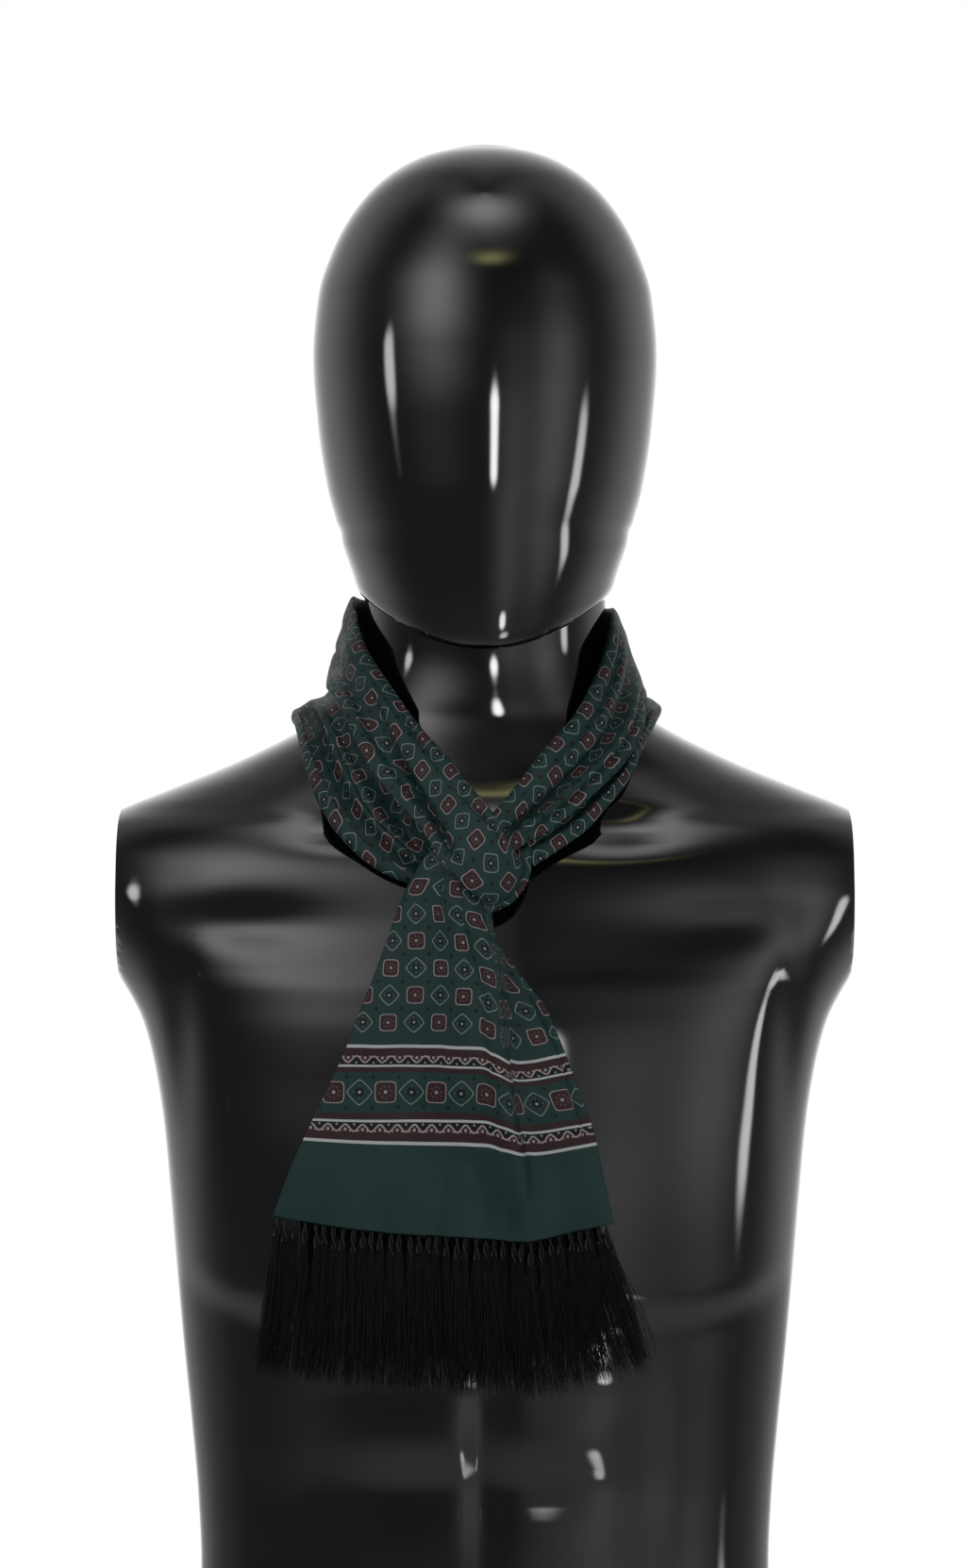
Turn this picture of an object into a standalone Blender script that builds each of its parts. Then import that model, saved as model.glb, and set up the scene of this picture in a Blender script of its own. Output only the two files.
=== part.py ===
"""A fringed silk scarf worn in a loop knot on an armless head-and-torso display form.

The scarf is doubled, laid round the neck, and both of its ends go through its own loop.
The wearer faces -Y, so the wearer's right side, where the loop is, lies at -X.
Lengths in the tables are millimetres; everything is made in metres, standing on z = 0.
"""

import math

import bmesh
import bpy
import numpy as np
from mathutils import Vector
from mathutils.bvhtree import BVHTree

MM = 0.001

# Driving sizes of the cloth, in millimetres.
WALL = 1.2  # thickness of every cloth solid
REST_GAP = 1.5  # mid-surface of the cloth to what it rests on
LAYER_GAP = 1.9  # mid-surface to mid-surface of two layers of cloth
REACH = 16.0  # how far a cloth looks for what it may lie on
ASIDE = 6.0  # how far past the edge of a flat cloth another still lies on it
SEAM_GAP = 0.35  # between the hem of a tail and the strip of its fringe
FRINGE_DROP = 70.0  # mean length of the fringe

# Driving sizes of the display form, in millimetres.
SHOULDER_CUT = 183.0  # half the width at which the shoulders are cut flat
BASE_ROUND = 3.0

TORSO_SECTIONS = (
    # height, half_width, half_depth, centre_y, squareness
    (0, 147, 93, 4, 2.4),
    (BASE_ROUND, 150, 96, 4, 2.4),
    (50, 148, 94, 2, 2.4),
    (95, 144, 91, 0, 2.4),
    (130, 142.5, 89, -2, 2.4),
    (165, 144, 90, -3, 2.4),
    (200, 147, 93, -4, 2.4),
    (240, 151, 98, -5, 2.4),
    (285, 155, 105, -5, 2.4),
    (320, 158, 110, -4, 2.4),
    (350, 161, 112, -2, 2.4),
    (380, 166, 112, 0, 2.35),
    (402, 172, 111, 1, 2.32),
    (414, 178, 110, 2, 2.3),
    (422, 182.8, 109, 2, 2.28),
    (430, 188, 108, 3, 2.26),
    (441, 195, 106, 3, 2.23),
    (455, 202, 103, 4, 2.2),
    (470, 207, 99, 5, 2.14),
    (484, 207, 94, 6, 2.1),
    (498, 200, 88, 8, 2.05),
    (508, 182, 82, 10, 2),
    (517, 160, 78, 11, 2),
    (530, 128, 74, 12, 2),
    (545, 97, 71, 12, 2),
    (552, 85, 69.5, 12, 2),
    (560, 74.5, 68, 11, 2),
    (577, 65, 65, 10, 2),
    (586, 62, 64, 9, 2),
)
NECK_TOP = (60, 62, 6, 2)  # the neck's section inside the head, as above
NECK_END = 630  # above this the head alone makes the outline

HEAD_SECTIONS = (
    # height, half_width, front_y, back_y
    (588, 34, -79, 16),
    (590, 40, -86, 24),
    (594, 46, -91, 36),
    (599, 51, -95, 48),
    (604, 55, -98, 58),
    (613, 61.5, -100, 70),
    (626, 67, -102, 81),
    (642, 72.5, -104, 88),
    (668, 79, -106, 95),
    (700, 84, -106, 99),
    (735, 86.5, -103, 100),
    (765, 84, -96, 96),
    (790, 76, -85, 88),
    (810, 64.5, -71, 75),
    (825, 50, -54, 58),
    (835, 33, -35, 40),
    (840, 16, -17, 21),
)
HEAD_TOP = 841.0
FORM_SIDES = 40

# Each band runs from the knot up the -X side, round the nape, and down the +X side to the knot.
# Its inner edge lies against the neck, its outer edge lies away from it.
UPPER_BAND = (
    # inner x, y, z, outer x, y, z, crown height
    (11, -95, 485, -5, -101, 464, 3),
    (17, -104, 482, 2, -109, 459, 6),
    (15, -114, 485, -1, -118, 461, 4),
    (10, -115, 493, -12, -119, 471, 3.5),
    (6, -109, 503, -20, -116, 481, 5),
    (-5, -97, 515, -29, -108, 489, 6),
    (-15, -84, 528, -39, -99, 499, 6),
    (-27, -72, 541, -51, -87, 519, 6),
    (-34, -65, 549, -61, -74, 535, 6),
    (-42, -55, 561, -69, -55, 553, 6),
    (-50, -43, 574, -74, -34, 562, 6),
    (-58, -28, 588, -77, -14, 567, 5),
    (-62, -12, 601, -77, 4, 570, 4),
    (-64, 8, 613, -78, 20, 570, 4),
    (-61, 33, 613, -77, 47, 569, 5),
    (-49, 56, 611, -60, 73, 567, 6),
    (-26, 71, 609, -31, 89, 566, 6),
    (0, 77, 608, 0, 94, 566, 6),
    (26, 71, 608, 31, 89, 566, 6),
    (49, 55, 608, 60, 72, 567, 6),
    (60, 31, 608, 75, 46, 569, 5),
    (62, 5, 607, 78, 20, 569, 4),
    (61, -13, 599, 79, 0, 564, 4),
    (58, -27, 586, 78, -22, 556, 5),
    (52, -42, 569, 77, -44, 545, 5),
    (43, -56, 552, 70, -62, 531, 6),
    (30, -66, 537, 56, -76, 516, 6),
    (17, -77, 520, 37, -90, 500, 5),
    (6, -89, 507, 20, -99, 490, 3),
    (-3, -97, 499, 9, -105, 483, 2),
)
LOWER_BAND = (
    # inner x, y, z, outer x, y, z, crown height
    (-9, -90, 488, -15, -98, 464, 3),
    (-24, -86, 500, -40, -95, 472, 5),
    (-33, -77, 511, -56, -90, 480, 7),
    (-40, -68, 523, -71, -80, 494, 8),
    (-46, -60, 536, -80, -66, 508, 9),
    (-53, -48, 549, -87, -50, 525, 9),
    (-61, -31, 563, -91, -28, 541, 8),
    (-68, -8, 567, -93, -4, 547, 8),
    (-72, 14, 568, -94, 20, 548, 8),
    (-68, 43, 568, -86, 57, 546, 8),
    (-42, 69, 570, -51, 89, 544, 9),
    (0, 82, 570, 0, 98, 543, 9),
    (42, 69, 569, 50, 88, 545, 8),
    (66, 41, 571, 82, 55, 549, 7),
    (71, 11, 567, 86, 15, 553, 6),
    (68, -14, 561, 84, -17, 549, 6),
    (61, -35, 553, 77, -47, 535, 6),
    (52, -51, 538, 70, -62, 520, 5),
    (41, -61, 527, 60, -72, 508, 5),
    (31, -69, 517, 50, -82, 497, 4),
    (20, -79, 506, 36, -91, 487, 3),
    (9, -90, 496, 23, -99, 479, 2),
)
BAND_SECTIONS = 46
BAND_STEPS = 15
TURN_SECTIONS = 3  # of the upper band, round the edge of its own other end
CROSSING_SECTIONS = 13  # over that other end
CROSSED_SECTIONS = 7  # of the other end
UPPER_ROLLS = (math.radians(42), math.radians(-10))  # how far the inner and outer edges roll under
LOWER_ROLLS = (math.radians(5), math.radians(42))
BAND_UNDER = 2.5  # depth of the rolled edges
BAND_FLATNESS = 0.78
THIN_EDGE = 0.4  # share of the crown's height that is left at a band's thinner edge

UPPER_FOLDS = (
    # place across at the start, at the end, half width, height, start, end along
    (0.80, 0.48, 0.10, -3.6, 0.06, 0.32),
    (0.70, 0.66, 0.10, -3.6, 0.16, 0.40),
    (0.36, 0.36, 0.10, -2.6, 0.36, 0.66),
    (0.70, 0.70, 0.10, -2.8, 0.40, 0.66),
    (0.24, 0.28, 0.10, -2.8, 0.68, 0.94),
    (0.62, 0.55, 0.10, -5.0, 0.68, 1.02),
)
LOWER_FOLDS = (
    # place across at the start, at the end, half width, height, start, end along
    (0.36, 0.40, 0.09, -5.0, 0.04, 0.30),
    (0.64, 0.68, 0.09, -6.4, 0.02, 0.32),
    (0.50, 0.50, 0.10, -3.4, 0.34, 0.70),
    (0.72, 0.66, 0.10, -3.2, 0.70, 0.98),
)
FOLD_FADE = 0.07  # share of the length over which a fold starts or ends

# Each tail hangs from the knot to its hem; its left edge is the one at -X.
FRONT_TAIL = (
    # left x, y, z, right x, y, z, dip of the middle, crown height
    (-20, -105, 493, -4, -108, 481, 0, 3),
    (-28, -105, 483, -3, -109, 467, 0, 5),
    (-35, -106, 473, 2, -111, 453, 0, 6),
    (-41, -107, 461, 8, -113, 441, 0, 6),
    (-46, -109, 447, 15, -115, 429, 1, 5),
    (-53, -112, 428, 25, -118, 415, 2, 4),
    (-61, -114, 408, 32, -119, 401, 3, 3),
    (-68, -116, 390, 38, -120, 387, 4, 2),
    (-76, -117, 373, 44, -121, 370, 5, 1),
    (-85, -116, 354, 51, -121, 351, 6, 0),
    (-94, -115, 334, 56, -121, 331, 7, 0),
    (-102, -112, 312, 61, -120, 309, 8, 0),
)
BACK_TAIL = (
    # left x, y, z, right x, y, z, dip of the middle, crown height
    (-27, -102, 462, -1, -105, 451, 0, 1),
    (-35, -105, 445, 7, -108, 434, 1, 1),
    (-44, -108, 423, 16, -111, 413, 2, 0),
    (-55, -111, 396, 28, -114, 390, 3, 0),
    (-67, -112, 368, 36, -116, 364, 5, 0),
    (-79, -111, 343, 44, -116, 340, 6, 0),
    (-88, -108, 322, 50, -115, 321, 7, 0),
)
FRONT_TAIL_FOLDS = (
    # place across at the start, at the end, half width, height, start, end along
    (0.22, 0.14, 0.10, 2.4, 0.00, 0.62),
    (0.42, 0.33, 0.11, -2.2, 0.05, 0.75),
    (0.62, 0.52, 0.09, 2.6, 0.00, 0.70),
    (0.80, 0.72, 0.07, 4.6, 0.08, 0.95),
    (0.94, 0.84, 0.06, -4.2, 0.10, 1.10),
    (0.60, 0.62, 0.12, -1.6, 0.55, 1.10),
    (0.20, 0.22, 0.14, 1.6, 0.60, 1.10),
)
BACK_TAIL_FOLDS = (
    # place across at the start, at the end, half width, height, start, end along
    (0.30, 0.25, 0.14, 1.6, 0.00, 1.10),
    (0.66, 0.72, 0.14, -1.2, 0.00, 1.10),
)
FRONT_TAIL_GRID = (23, 21)  # sections along, points across
BACK_TAIL_GRID = (14, 13)
FULL_FOLD_WIDTH = 90.0  # a tail narrower than this has its folds scaled down

FRONT_FRINGE_LOCKS = 56
BACK_FRINGE_LOCKS = 34
LOCK_SHARE = 0.55  # of a lock's pitch that is thread and not gap
STRIP_DROP = 3.0
STRIP_WALL = 1.4
FRONT_FRINGE_SPREAD = (-7.0, 17.0, 0.0)  # at the left, at the right, back towards the form
BACK_FRINGE_SPREAD = (-5.0, 9.0, 7.0)
LOCK_RINGS = (
    # share of the drop, share of the lock's full width
    (0.10, 0.62),
    (0.45, 1.0),
    (0.80, 0.9),
    (1.0, 0.35),
)

COLOURS = {
    # base colour, roughness
    "black_gloss": ((0.006, 0.006, 0.007), 0.08),
    "printed_silk": ((0.026, 0.058, 0.054), 0.5),
    "black_thread": ((0.012, 0.012, 0.013), 0.55),
}


def clear_scene():
    for thing in list(bpy.data.objects):
        bpy.data.objects.remove(thing)


def make_collection(name):
    collection = bpy.data.collections.new(name)
    bpy.context.scene.collection.children.link(collection)
    return collection


def make_material(object_name, look):
    colour, roughness = COLOURS[look]
    material = bpy.data.materials.new(f"{object_name}_{look}")
    material.use_nodes = True
    shader = material.node_tree.nodes["Principled BSDF"]
    shader.inputs["Base Color"].default_value = (*colour, 1.0)
    shader.inputs["Roughness"].default_value = roughness
    return material


def add_object(collection, name, mesh, look):
    thing = bpy.data.objects.new(name, mesh)
    mesh.materials.append(make_material(name, look))
    mesh.shade_smooth()
    collection.objects.link(thing)
    return thing


def spline(rows, count):
    """Count rows on a Catmull-Rom curve through the table's rows, evenly spaced by length."""
    rows = np.array(rows, float)
    middle = (rows[:, 0:3] + rows[:, 3:6]) / 2
    steps = np.linalg.norm(np.diff(middle, axis=0), axis=1)
    places = np.concatenate([[0], np.cumsum(steps)])
    padded = np.vstack([2 * rows[0] - rows[1], rows, 2 * rows[-1] - rows[-2]])
    result = []
    for place in np.linspace(0, places[-1], count):
        i = min(np.searchsorted(places, place, side="right") - 1, len(rows) - 2)
        t = (place - places[i]) / (places[i + 1] - places[i])
        p0, p1, p2, p3 = padded[i : i + 4]
        result.append(
            p1
            + 0.5 * t * (p2 - p0)
            + t * t * (p0 - 2.5 * p1 + 2 * p2 - 0.5 * p3)
            + t**3 * (1.5 * (p1 - p2) + 0.5 * (p3 - p0))
        )
    return np.array(result)


def outward(inner, outer):
    """The direction out of the cloth at each section, from its length and its width."""
    along = np.gradient((inner + outer) / 2, axis=0)
    normals = np.cross(along, outer - inner)
    for _ in range(2):
        normals[1:-1] = (normals[:-2] + 2 * normals[1:-1] + normals[2:]) / 4
    return normals / np.linalg.norm(normals, axis=1, keepdims=True)


def fold_height(folds, across, along):
    """The height of the table's folds at a place across and along a cloth, both from 0 to 1."""
    height = 0.0
    for start_place, end_place, half_width, size, start, end in folds:
        inside = min((along - start) / FOLD_FADE, (end - along) / FOLD_FADE, 1.0)
        if inside <= 0:
            continue
        fade = inside * inside * (3 - 2 * inside)
        share = (along - start) / (end - start)
        place = start_place + (end_place - start_place) * share
        height += size * fade * math.exp(-(((across - place) / half_width) ** 2))
    return height


def band_grid(rows, folds, rolls, thin_edge):
    """A flattened tube, open underneath: its crown carries the folds, its edges roll under.

    The crown is lower towards the thin edge, which is 0 for the inner one and 1 for the outer.
    """
    table = spline(rows, BAND_SECTIONS)
    inner, outer, crown = table[:, 0:3], table[:, 3:6], table[:, 6]
    normals = outward(inner, outer)
    grid = np.zeros((BAND_SECTIONS, BAND_STEPS, 3))
    for i in range(BAND_SECTIONS):
        along = i / (BAND_SECTIONS - 1)
        for j in range(BAND_STEPS):
            share = j / (BAND_STEPS - 1)
            angle = math.pi + rolls[0] - share * (math.pi + sum(rolls))
            side, rise = math.cos(angle), math.sin(angle)
            across = 0.5 + 0.5 * math.copysign(abs(side) ** BAND_FLATNESS, side)
            lift = BAND_UNDER
            if rise < 0:
                lift -= BAND_UNDER * abs(rise) ** BAND_FLATNESS
            else:
                thinness = THIN_EDGE + (1 - THIN_EDGE) * abs(across - thin_edge)
                lift += crown[i] * thinness * rise**BAND_FLATNESS
                lift += fold_height(folds, across, along) * math.sqrt(rise)
            place = inner[i] + (outer[i] - inner[i]) * across
            grid[i, j] = place + normals[i] * lift
    return grid


def tail_grid(rows, folds, shape):
    """A flat end of the scarf, fanning out from the knot, with soft lengthwise folds."""
    sections, steps = shape
    table = spline(rows, sections)
    left, right, dip, crown = table[:, 0:3], table[:, 3:6], table[:, 6], table[:, 7]
    normals = outward(left, right)
    grid = np.zeros((sections, steps, 3))
    for i in range(sections):
        along = i / (sections - 1)
        width = np.linalg.norm(right[i] - left[i])
        for j in range(steps):
            across = j / (steps - 1)
            place = left[i] + (right[i] - left[i]) * across
            height = fold_height(folds, across, along) * min(1.0, width / FULL_FOLD_WIDTH)
            height += crown[i] * math.sin(math.pi * across) ** 0.6
            place = place + normals[i] * height
            place[2] -= dip[i] * math.sin(math.pi * across)
            grid[i, j] = place
    return grid


def faces_of(shape):
    rows, columns = shape
    return [
        (i * columns + j, (i + 1) * columns + j, (i + 1) * columns + j + 1, i * columns + j + 1)
        for i in range(rows - 1)
        for j in range(columns - 1)
    ]


def surface(points, faces):
    return BVHTree.FromPolygons([Vector(point) for point in points], faces)


def tube_layer(grid, gap):
    """A band as something to lie on: its closed tube, its crown to come out at, and a gap."""
    rows, columns = grid.shape[:2]
    walls = faces_of((rows, columns))
    for i in range(rows - 1):
        first, last = i * columns, (i + 1) * columns - 1
        walls.append((last, last + columns, first + columns, first))
    crown = grid[:, 2:-2]
    return (
        surface(grid.reshape(-1, 3), walls),
        surface(crown.reshape(-1, 3), faces_of(crown.shape[:2])),
        gap,
    )


def sheet_layer(grid, gap):
    """A flat cloth as something to lie on, from its outward side only."""
    sheet = surface(grid.reshape(-1, 3), faces_of(grid.shape[:2]))
    return (None, sheet, gap)


def clearing_move(point, layer):
    """How a point moves to lie clear of a layer, or None where it is clear already."""
    closed, out, gap = layer
    if closed is None:
        nearest, normal, _face, _distance = out.find_nearest(point, REACH)
        if nearest is None:
            return None
        depth = (point - nearest).dot(normal)
        aside = (point - nearest - normal * depth).length
        return normal * (gap - depth) if depth < gap and aside < ASIDE else None
    nearest, normal, _face, distance = closed.find_nearest(point, REACH)
    if nearest is None:
        return None
    if (point - nearest).dot(normal) < 0:
        nearest, normal, _face, _distance = out.find_nearest(point)
        return nearest - point + normal * gap
    return (point - nearest).normalized() * (gap - distance) if distance < gap else None


def rest_on(grid, layers, rounds=12):
    """Moves a cloth out until it clears every layer under it."""
    grid = grid.copy()
    for _ in range(rounds):
        push = np.zeros_like(grid)
        for index in np.ndindex(grid.shape[:2]):
            for layer in layers:
                move = clearing_move(Vector(grid[index]), layer)
                if move is not None and move.length > np.linalg.norm(push[index]):
                    push[index] = move
        spread = push.copy()
        spread[1:-1] = (push[:-2] + 2 * push[1:-1] + push[2:]) / 4
        longer = np.linalg.norm(spread, axis=2) > np.linalg.norm(push, axis=2)
        push[longer] = spread[longer]
        grid += push
    return grid


def cloth_object(collection, name, grid):
    """An open surface with an even wall on both sides of it."""
    mesh = bpy.data.meshes.new(name)
    mesh.from_pydata([tuple(point * MM) for point in grid.reshape(-1, 3)], [], faces_of(grid.shape[:2]))
    thing = add_object(collection, name, mesh, "printed_silk")
    wall = thing.modifiers.new("wall", "SOLIDIFY")
    wall.thickness = WALL * MM
    wall.offset = 0.0
    return thing


def section_reach(direction, half_width, half_depth, squareness, centre_offset):
    """How far a superellipse reaches along a direction from a point inside it."""
    low, high = 0.0, 400.0
    for _ in range(40):
        reach = (low + high) / 2
        x = abs(direction[0] * reach) / half_width
        y = abs(direction[1] * reach - centre_offset) / half_depth
        if x**squareness + y**squareness < 1:
            low = reach
        else:
            high = reach
    return low


def form_ring(height, sections):
    """One ring of the form: the outline round every section given for this height."""
    half_width, half_depth, centre_y, _ = sections[0]
    ring = []
    for i in range(FORM_SIDES):
        turn = 2 * math.pi * i / FORM_SIDES
        ray = Vector((half_width * math.cos(turn), half_depth * math.sin(turn))).normalized()
        reach = max(
            section_reach(ray, width, depth, square, y - centre_y)
            for width, depth, y, square in sections
        )
        ring.append((ray.x * reach * MM, (centre_y + ray.y * reach) * MM, height * MM))
    return ring


def form_rings():
    rings = [form_ring(height, [section]) for height, *section in TORSO_SECTIONS]
    for height, half_width, front_y, back_y in HEAD_SECTIONS:
        head = (half_width, (back_y - front_y) / 2, (back_y + front_y) / 2, 2)
        inside_head = height > NECK_END
        rings.append(form_ring(height, [head] if inside_head else [NECK_TOP, head]))
    return rings


def make_form(collection):
    """The display form: a loft through its rings, cut flat at both shoulders."""
    shape = bmesh.new()
    rings = [[shape.verts.new(point) for point in ring] for ring in form_rings()]
    for lower, upper in zip(rings, rings[1:]):
        for i in range(FORM_SIDES):
            j = (i + 1) % FORM_SIDES
            shape.faces.new((lower[i], lower[j], upper[j], upper[i]))
    shape.faces.new(list(reversed(rings[0])))
    crown = shape.verts.new((0, 2 * MM, HEAD_TOP * MM))
    for i in range(FORM_SIDES):
        shape.faces.new((rings[-1][i], rings[-1][(i + 1) % FORM_SIDES], crown))
    for side in (-1, 1):
        cut = bmesh.ops.bisect_plane(
            shape,
            geom=shape.verts[:] + shape.edges[:] + shape.faces[:],
            plane_co=(side * SHOULDER_CUT * MM, 0, 0),
            plane_no=(side, 0, 0),
            clear_outer=True,
        )
        rim = [item for item in cut["geom_cut"] if isinstance(item, bmesh.types.BMEdge)]
        bmesh.ops.contextual_create(shape, geom=rim)
    bmesh.ops.recalc_face_normals(shape, faces=shape.faces)
    mesh = bpy.data.meshes.new("display_form")
    shape.to_mesh(mesh)
    shape.free()
    thing = add_object(collection, "display_form", mesh, "black_gloss")
    mesh.set_sharp_from_angle(angle=math.radians(45))
    return thing


def form_layer(thing):
    """The form as something to lie on."""
    mesh = thing.data
    points = [vertex.co / MM for vertex in mesh.vertices]
    tree = surface(points, [tuple(face.vertices) for face in mesh.polygons])
    return (tree, tree, REST_GAP)


def hem_point(hem, share):
    """A point on the hem line, at a share of its width."""
    place = share * (len(hem) - 1)
    i = min(int(place), len(hem) - 2)
    return hem[i] + (hem[i + 1] - hem[i]) * (place - i)


def make_fringe(collection, name, hem, locks, spread):
    """A narrow strip along the hem, with four-sided locks of thread drawn down from it."""
    shape = bmesh.new()
    gap_share = (1 - LOCK_SHARE) / 2
    stations = []
    for i in range(locks):
        stations += [(i + gap_share) / locks, (i + 1 - gap_share) / locks]
    depth = Vector((0, STRIP_WALL / 2 * MM, 0))
    top, bottom = [], []
    for share in stations:
        point = Vector(hem_point(hem, share)) * MM
        upper = point - Vector((0, 0, (WALL / 2 + SEAM_GAP) * MM))
        lower = upper - Vector((0, 0, STRIP_DROP * MM))
        top.append([shape.verts.new(upper - depth), shape.verts.new(upper + depth)])
        bottom.append([shape.verts.new(lower - depth), shape.verts.new(lower + depth)])
    for i in range(len(stations) - 1):
        shape.faces.new((top[i][0], top[i + 1][0], top[i + 1][1], top[i][1]))
        shape.faces.new((bottom[i][0], bottom[i + 1][0], top[i + 1][0], top[i][0]))
        shape.faces.new((top[i][1], top[i + 1][1], bottom[i + 1][1], bottom[i][1]))
        if i % 2:
            shape.faces.new((bottom[i][0], bottom[i][1], bottom[i + 1][1], bottom[i + 1][0]))
    for end in (0, -1):
        shape.faces.new((top[end][0], top[end][1], bottom[end][1], bottom[end][0]))
    for i in range(locks):
        draw_lock(shape, bottom[2 * i] + bottom[2 * i + 1][::-1], i, locks, spread)
    bmesh.ops.recalc_face_normals(shape, faces=shape.faces)
    mesh = bpy.data.meshes.new(name)
    shape.to_mesh(mesh)
    shape.free()
    return add_object(collection, name, mesh, "black_thread")


def draw_lock(shape, root, number, locks, spread):
    """One lock, tapered down from its four root points, leaning and curving a little."""
    share = (number + 0.5) / locks
    side = (spread[0] * (1 - share) ** 2 + spread[1] * share**3) * MM
    drop = (FRINGE_DROP + 3.0 * math.sin(2.4 * number) - 9.0 * share**6) * MM
    sway = 1.1 * math.sin(1.7 * number + 0.6) * MM
    centre = sum((vert.co for vert in root), Vector()) / 4
    arms = [vert.co - centre for vert in root]
    previous = root
    for fall, width in LOCK_RINGS:
        back = spread[2] * MM * fall + sway * math.sin(math.pi * fall)
        middle = centre + Vector((side * fall**1.5, back, -drop * fall))
        ring = [shape.verts.new(middle + arm * width) for arm in arms]
        for i in range(4):
            shape.faces.new((previous[i], previous[(i + 1) % 4], ring[(i + 1) % 4], ring[i]))
        previous = ring
    shape.faces.new(previous)


def centre_on_origin(collection):
    """Moves everything along Y until the middle of the whole depth is at the origin."""
    bpy.context.view_layer.update()
    graph = bpy.context.evaluated_depsgraph_get()
    reach = [corner[1] for thing in collection.objects for corner in thing.evaluated_get(graph).bound_box]
    for thing in collection.objects:
        thing.location.y = -(min(reach) + max(reach)) / 2


def build():
    clear_scene()
    collection = make_collection("fringed_scarf")
    form = form_layer(make_form(collection))

    lower = rest_on(band_grid(LOWER_BAND, LOWER_FOLDS, LOWER_ROLLS, thin_edge=0), [form])
    under = [form, tube_layer(lower, LAYER_GAP)]
    back = rest_on(tail_grid(BACK_TAIL, BACK_TAIL_FOLDS, BACK_TAIL_GRID), under)
    threads = back[-1:] + (0, BACK_FRINGE_SPREAD[2] / 3, -FRINGE_DROP / 3)
    under.append(sheet_layer(np.concatenate([back, threads]), LAYER_GAP + STRIP_WALL / 2))
    front = rest_on(tail_grid(FRONT_TAIL, FRONT_TAIL_FOLDS, FRONT_TAIL_GRID), under)

    upper = rest_on(band_grid(UPPER_BAND, UPPER_FOLDS, UPPER_ROLLS, thin_edge=1), under)
    under += [sheet_layer(front, LAYER_GAP), tube_layer(upper[-CROSSED_SECTIONS:], LAYER_GAP)]
    crossing = slice(TURN_SECTIONS, CROSSING_SECTIONS)
    upper[crossing] = rest_on(upper[crossing], under)

    cloth_object(collection, "wrap_lower", lower)
    cloth_object(collection, "wrap_upper", upper)
    cloth_object(collection, "tail_back", back)
    cloth_object(collection, "tail_front", front)
    make_fringe(collection, "fringe_back", back[-1], BACK_FRINGE_LOCKS, BACK_FRINGE_SPREAD)
    make_fringe(collection, "fringe_front", front[-1], FRONT_FRINGE_LOCKS, FRONT_FRINGE_SPREAD)
    centre_on_origin(collection)


build()
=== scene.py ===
"""Looks of a fringed silk scarf worn in a loop knot on a glossy armless display form.

The cloth is doubled, laid round the neck, and both of its ends go through its own loop.
The wearer faces -Y, so the wearer's right side, where the loop is, lies at -X.
Lengths are millimetres up to the making of each object, which is in metres.
"""

import math

import bmesh
import bpy
import numpy as np
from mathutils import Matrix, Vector, noise
from mathutils.bvhtree import BVHTree


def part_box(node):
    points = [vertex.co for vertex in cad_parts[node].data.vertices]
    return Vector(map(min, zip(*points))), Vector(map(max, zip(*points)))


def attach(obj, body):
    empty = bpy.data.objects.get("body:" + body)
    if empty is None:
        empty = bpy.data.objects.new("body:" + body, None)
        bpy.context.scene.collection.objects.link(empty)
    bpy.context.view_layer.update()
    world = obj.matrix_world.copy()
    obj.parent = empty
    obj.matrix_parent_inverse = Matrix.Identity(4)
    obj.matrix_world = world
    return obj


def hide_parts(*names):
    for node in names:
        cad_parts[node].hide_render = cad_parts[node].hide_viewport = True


MM = 0.001

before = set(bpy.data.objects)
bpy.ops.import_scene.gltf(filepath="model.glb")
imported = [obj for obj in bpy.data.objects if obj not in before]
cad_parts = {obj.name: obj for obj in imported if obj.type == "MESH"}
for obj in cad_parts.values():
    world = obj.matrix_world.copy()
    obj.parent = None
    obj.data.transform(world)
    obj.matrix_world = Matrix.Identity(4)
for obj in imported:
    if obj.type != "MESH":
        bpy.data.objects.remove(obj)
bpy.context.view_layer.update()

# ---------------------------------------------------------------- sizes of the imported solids

REST_GAP = 1.5  # mid-surface of the cloth to what it rests on
LAYER_GAP = 1.9  # mid-surface to mid-surface of two layers of cloth
REACH = 16.0  # how far a cloth looks for what it may lie on
ASIDE = 6.0  # how far past the edge of a flat cloth another still lies on it
FRINGE_DROP = 70.0  # mean length of the solid fringe
STRIP_WALL = 1.4  # of the strip that carries the fringe

SHOULDER_CUT = 183.0  # half the width at which the shoulders are cut flat
BASE_ROUND = 3.0

TORSO_SECTIONS = (
    # height, half_width, half_depth, centre_y, squareness
    (0, 147, 93, 4, 2.4),
    (BASE_ROUND, 150, 96, 4, 2.4),
    (50, 148, 94, 2, 2.4),
    (95, 144, 91, 0, 2.4),
    (130, 142.5, 89, -2, 2.4),
    (165, 144, 90, -3, 2.4),
    (200, 147, 93, -4, 2.4),
    (240, 151, 98, -5, 2.4),
    (285, 155, 105, -5, 2.4),
    (320, 158, 110, -4, 2.4),
    (350, 161, 112, -2, 2.4),
    (380, 166, 112, 0, 2.35),
    (402, 172, 111, 1, 2.32),
    (414, 178, 110, 2, 2.3),
    (422, 182.8, 109, 2, 2.28),
    (430, 188, 108, 3, 2.26),
    (441, 195, 106, 3, 2.23),
    (455, 202, 103, 4, 2.2),
    (470, 207, 99, 5, 2.14),
    (484, 207, 94, 6, 2.1),
    (498, 200, 88, 8, 2.05),
    (508, 182, 82, 10, 2),
    (517, 160, 78, 11, 2),
    (530, 128, 74, 12, 2),
    (545, 97, 71, 12, 2),
    (552, 85, 69.5, 12, 2),
    (560, 74.5, 68, 11, 2),
    (577, 65, 65, 10, 2),
    (586, 62, 64, 9, 2),
)
NECK_TOP = (60, 62, 6, 2)  # the neck's section inside the head: all but its height, as above
NECK_END = 630  # above this the head alone makes the outline

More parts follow.
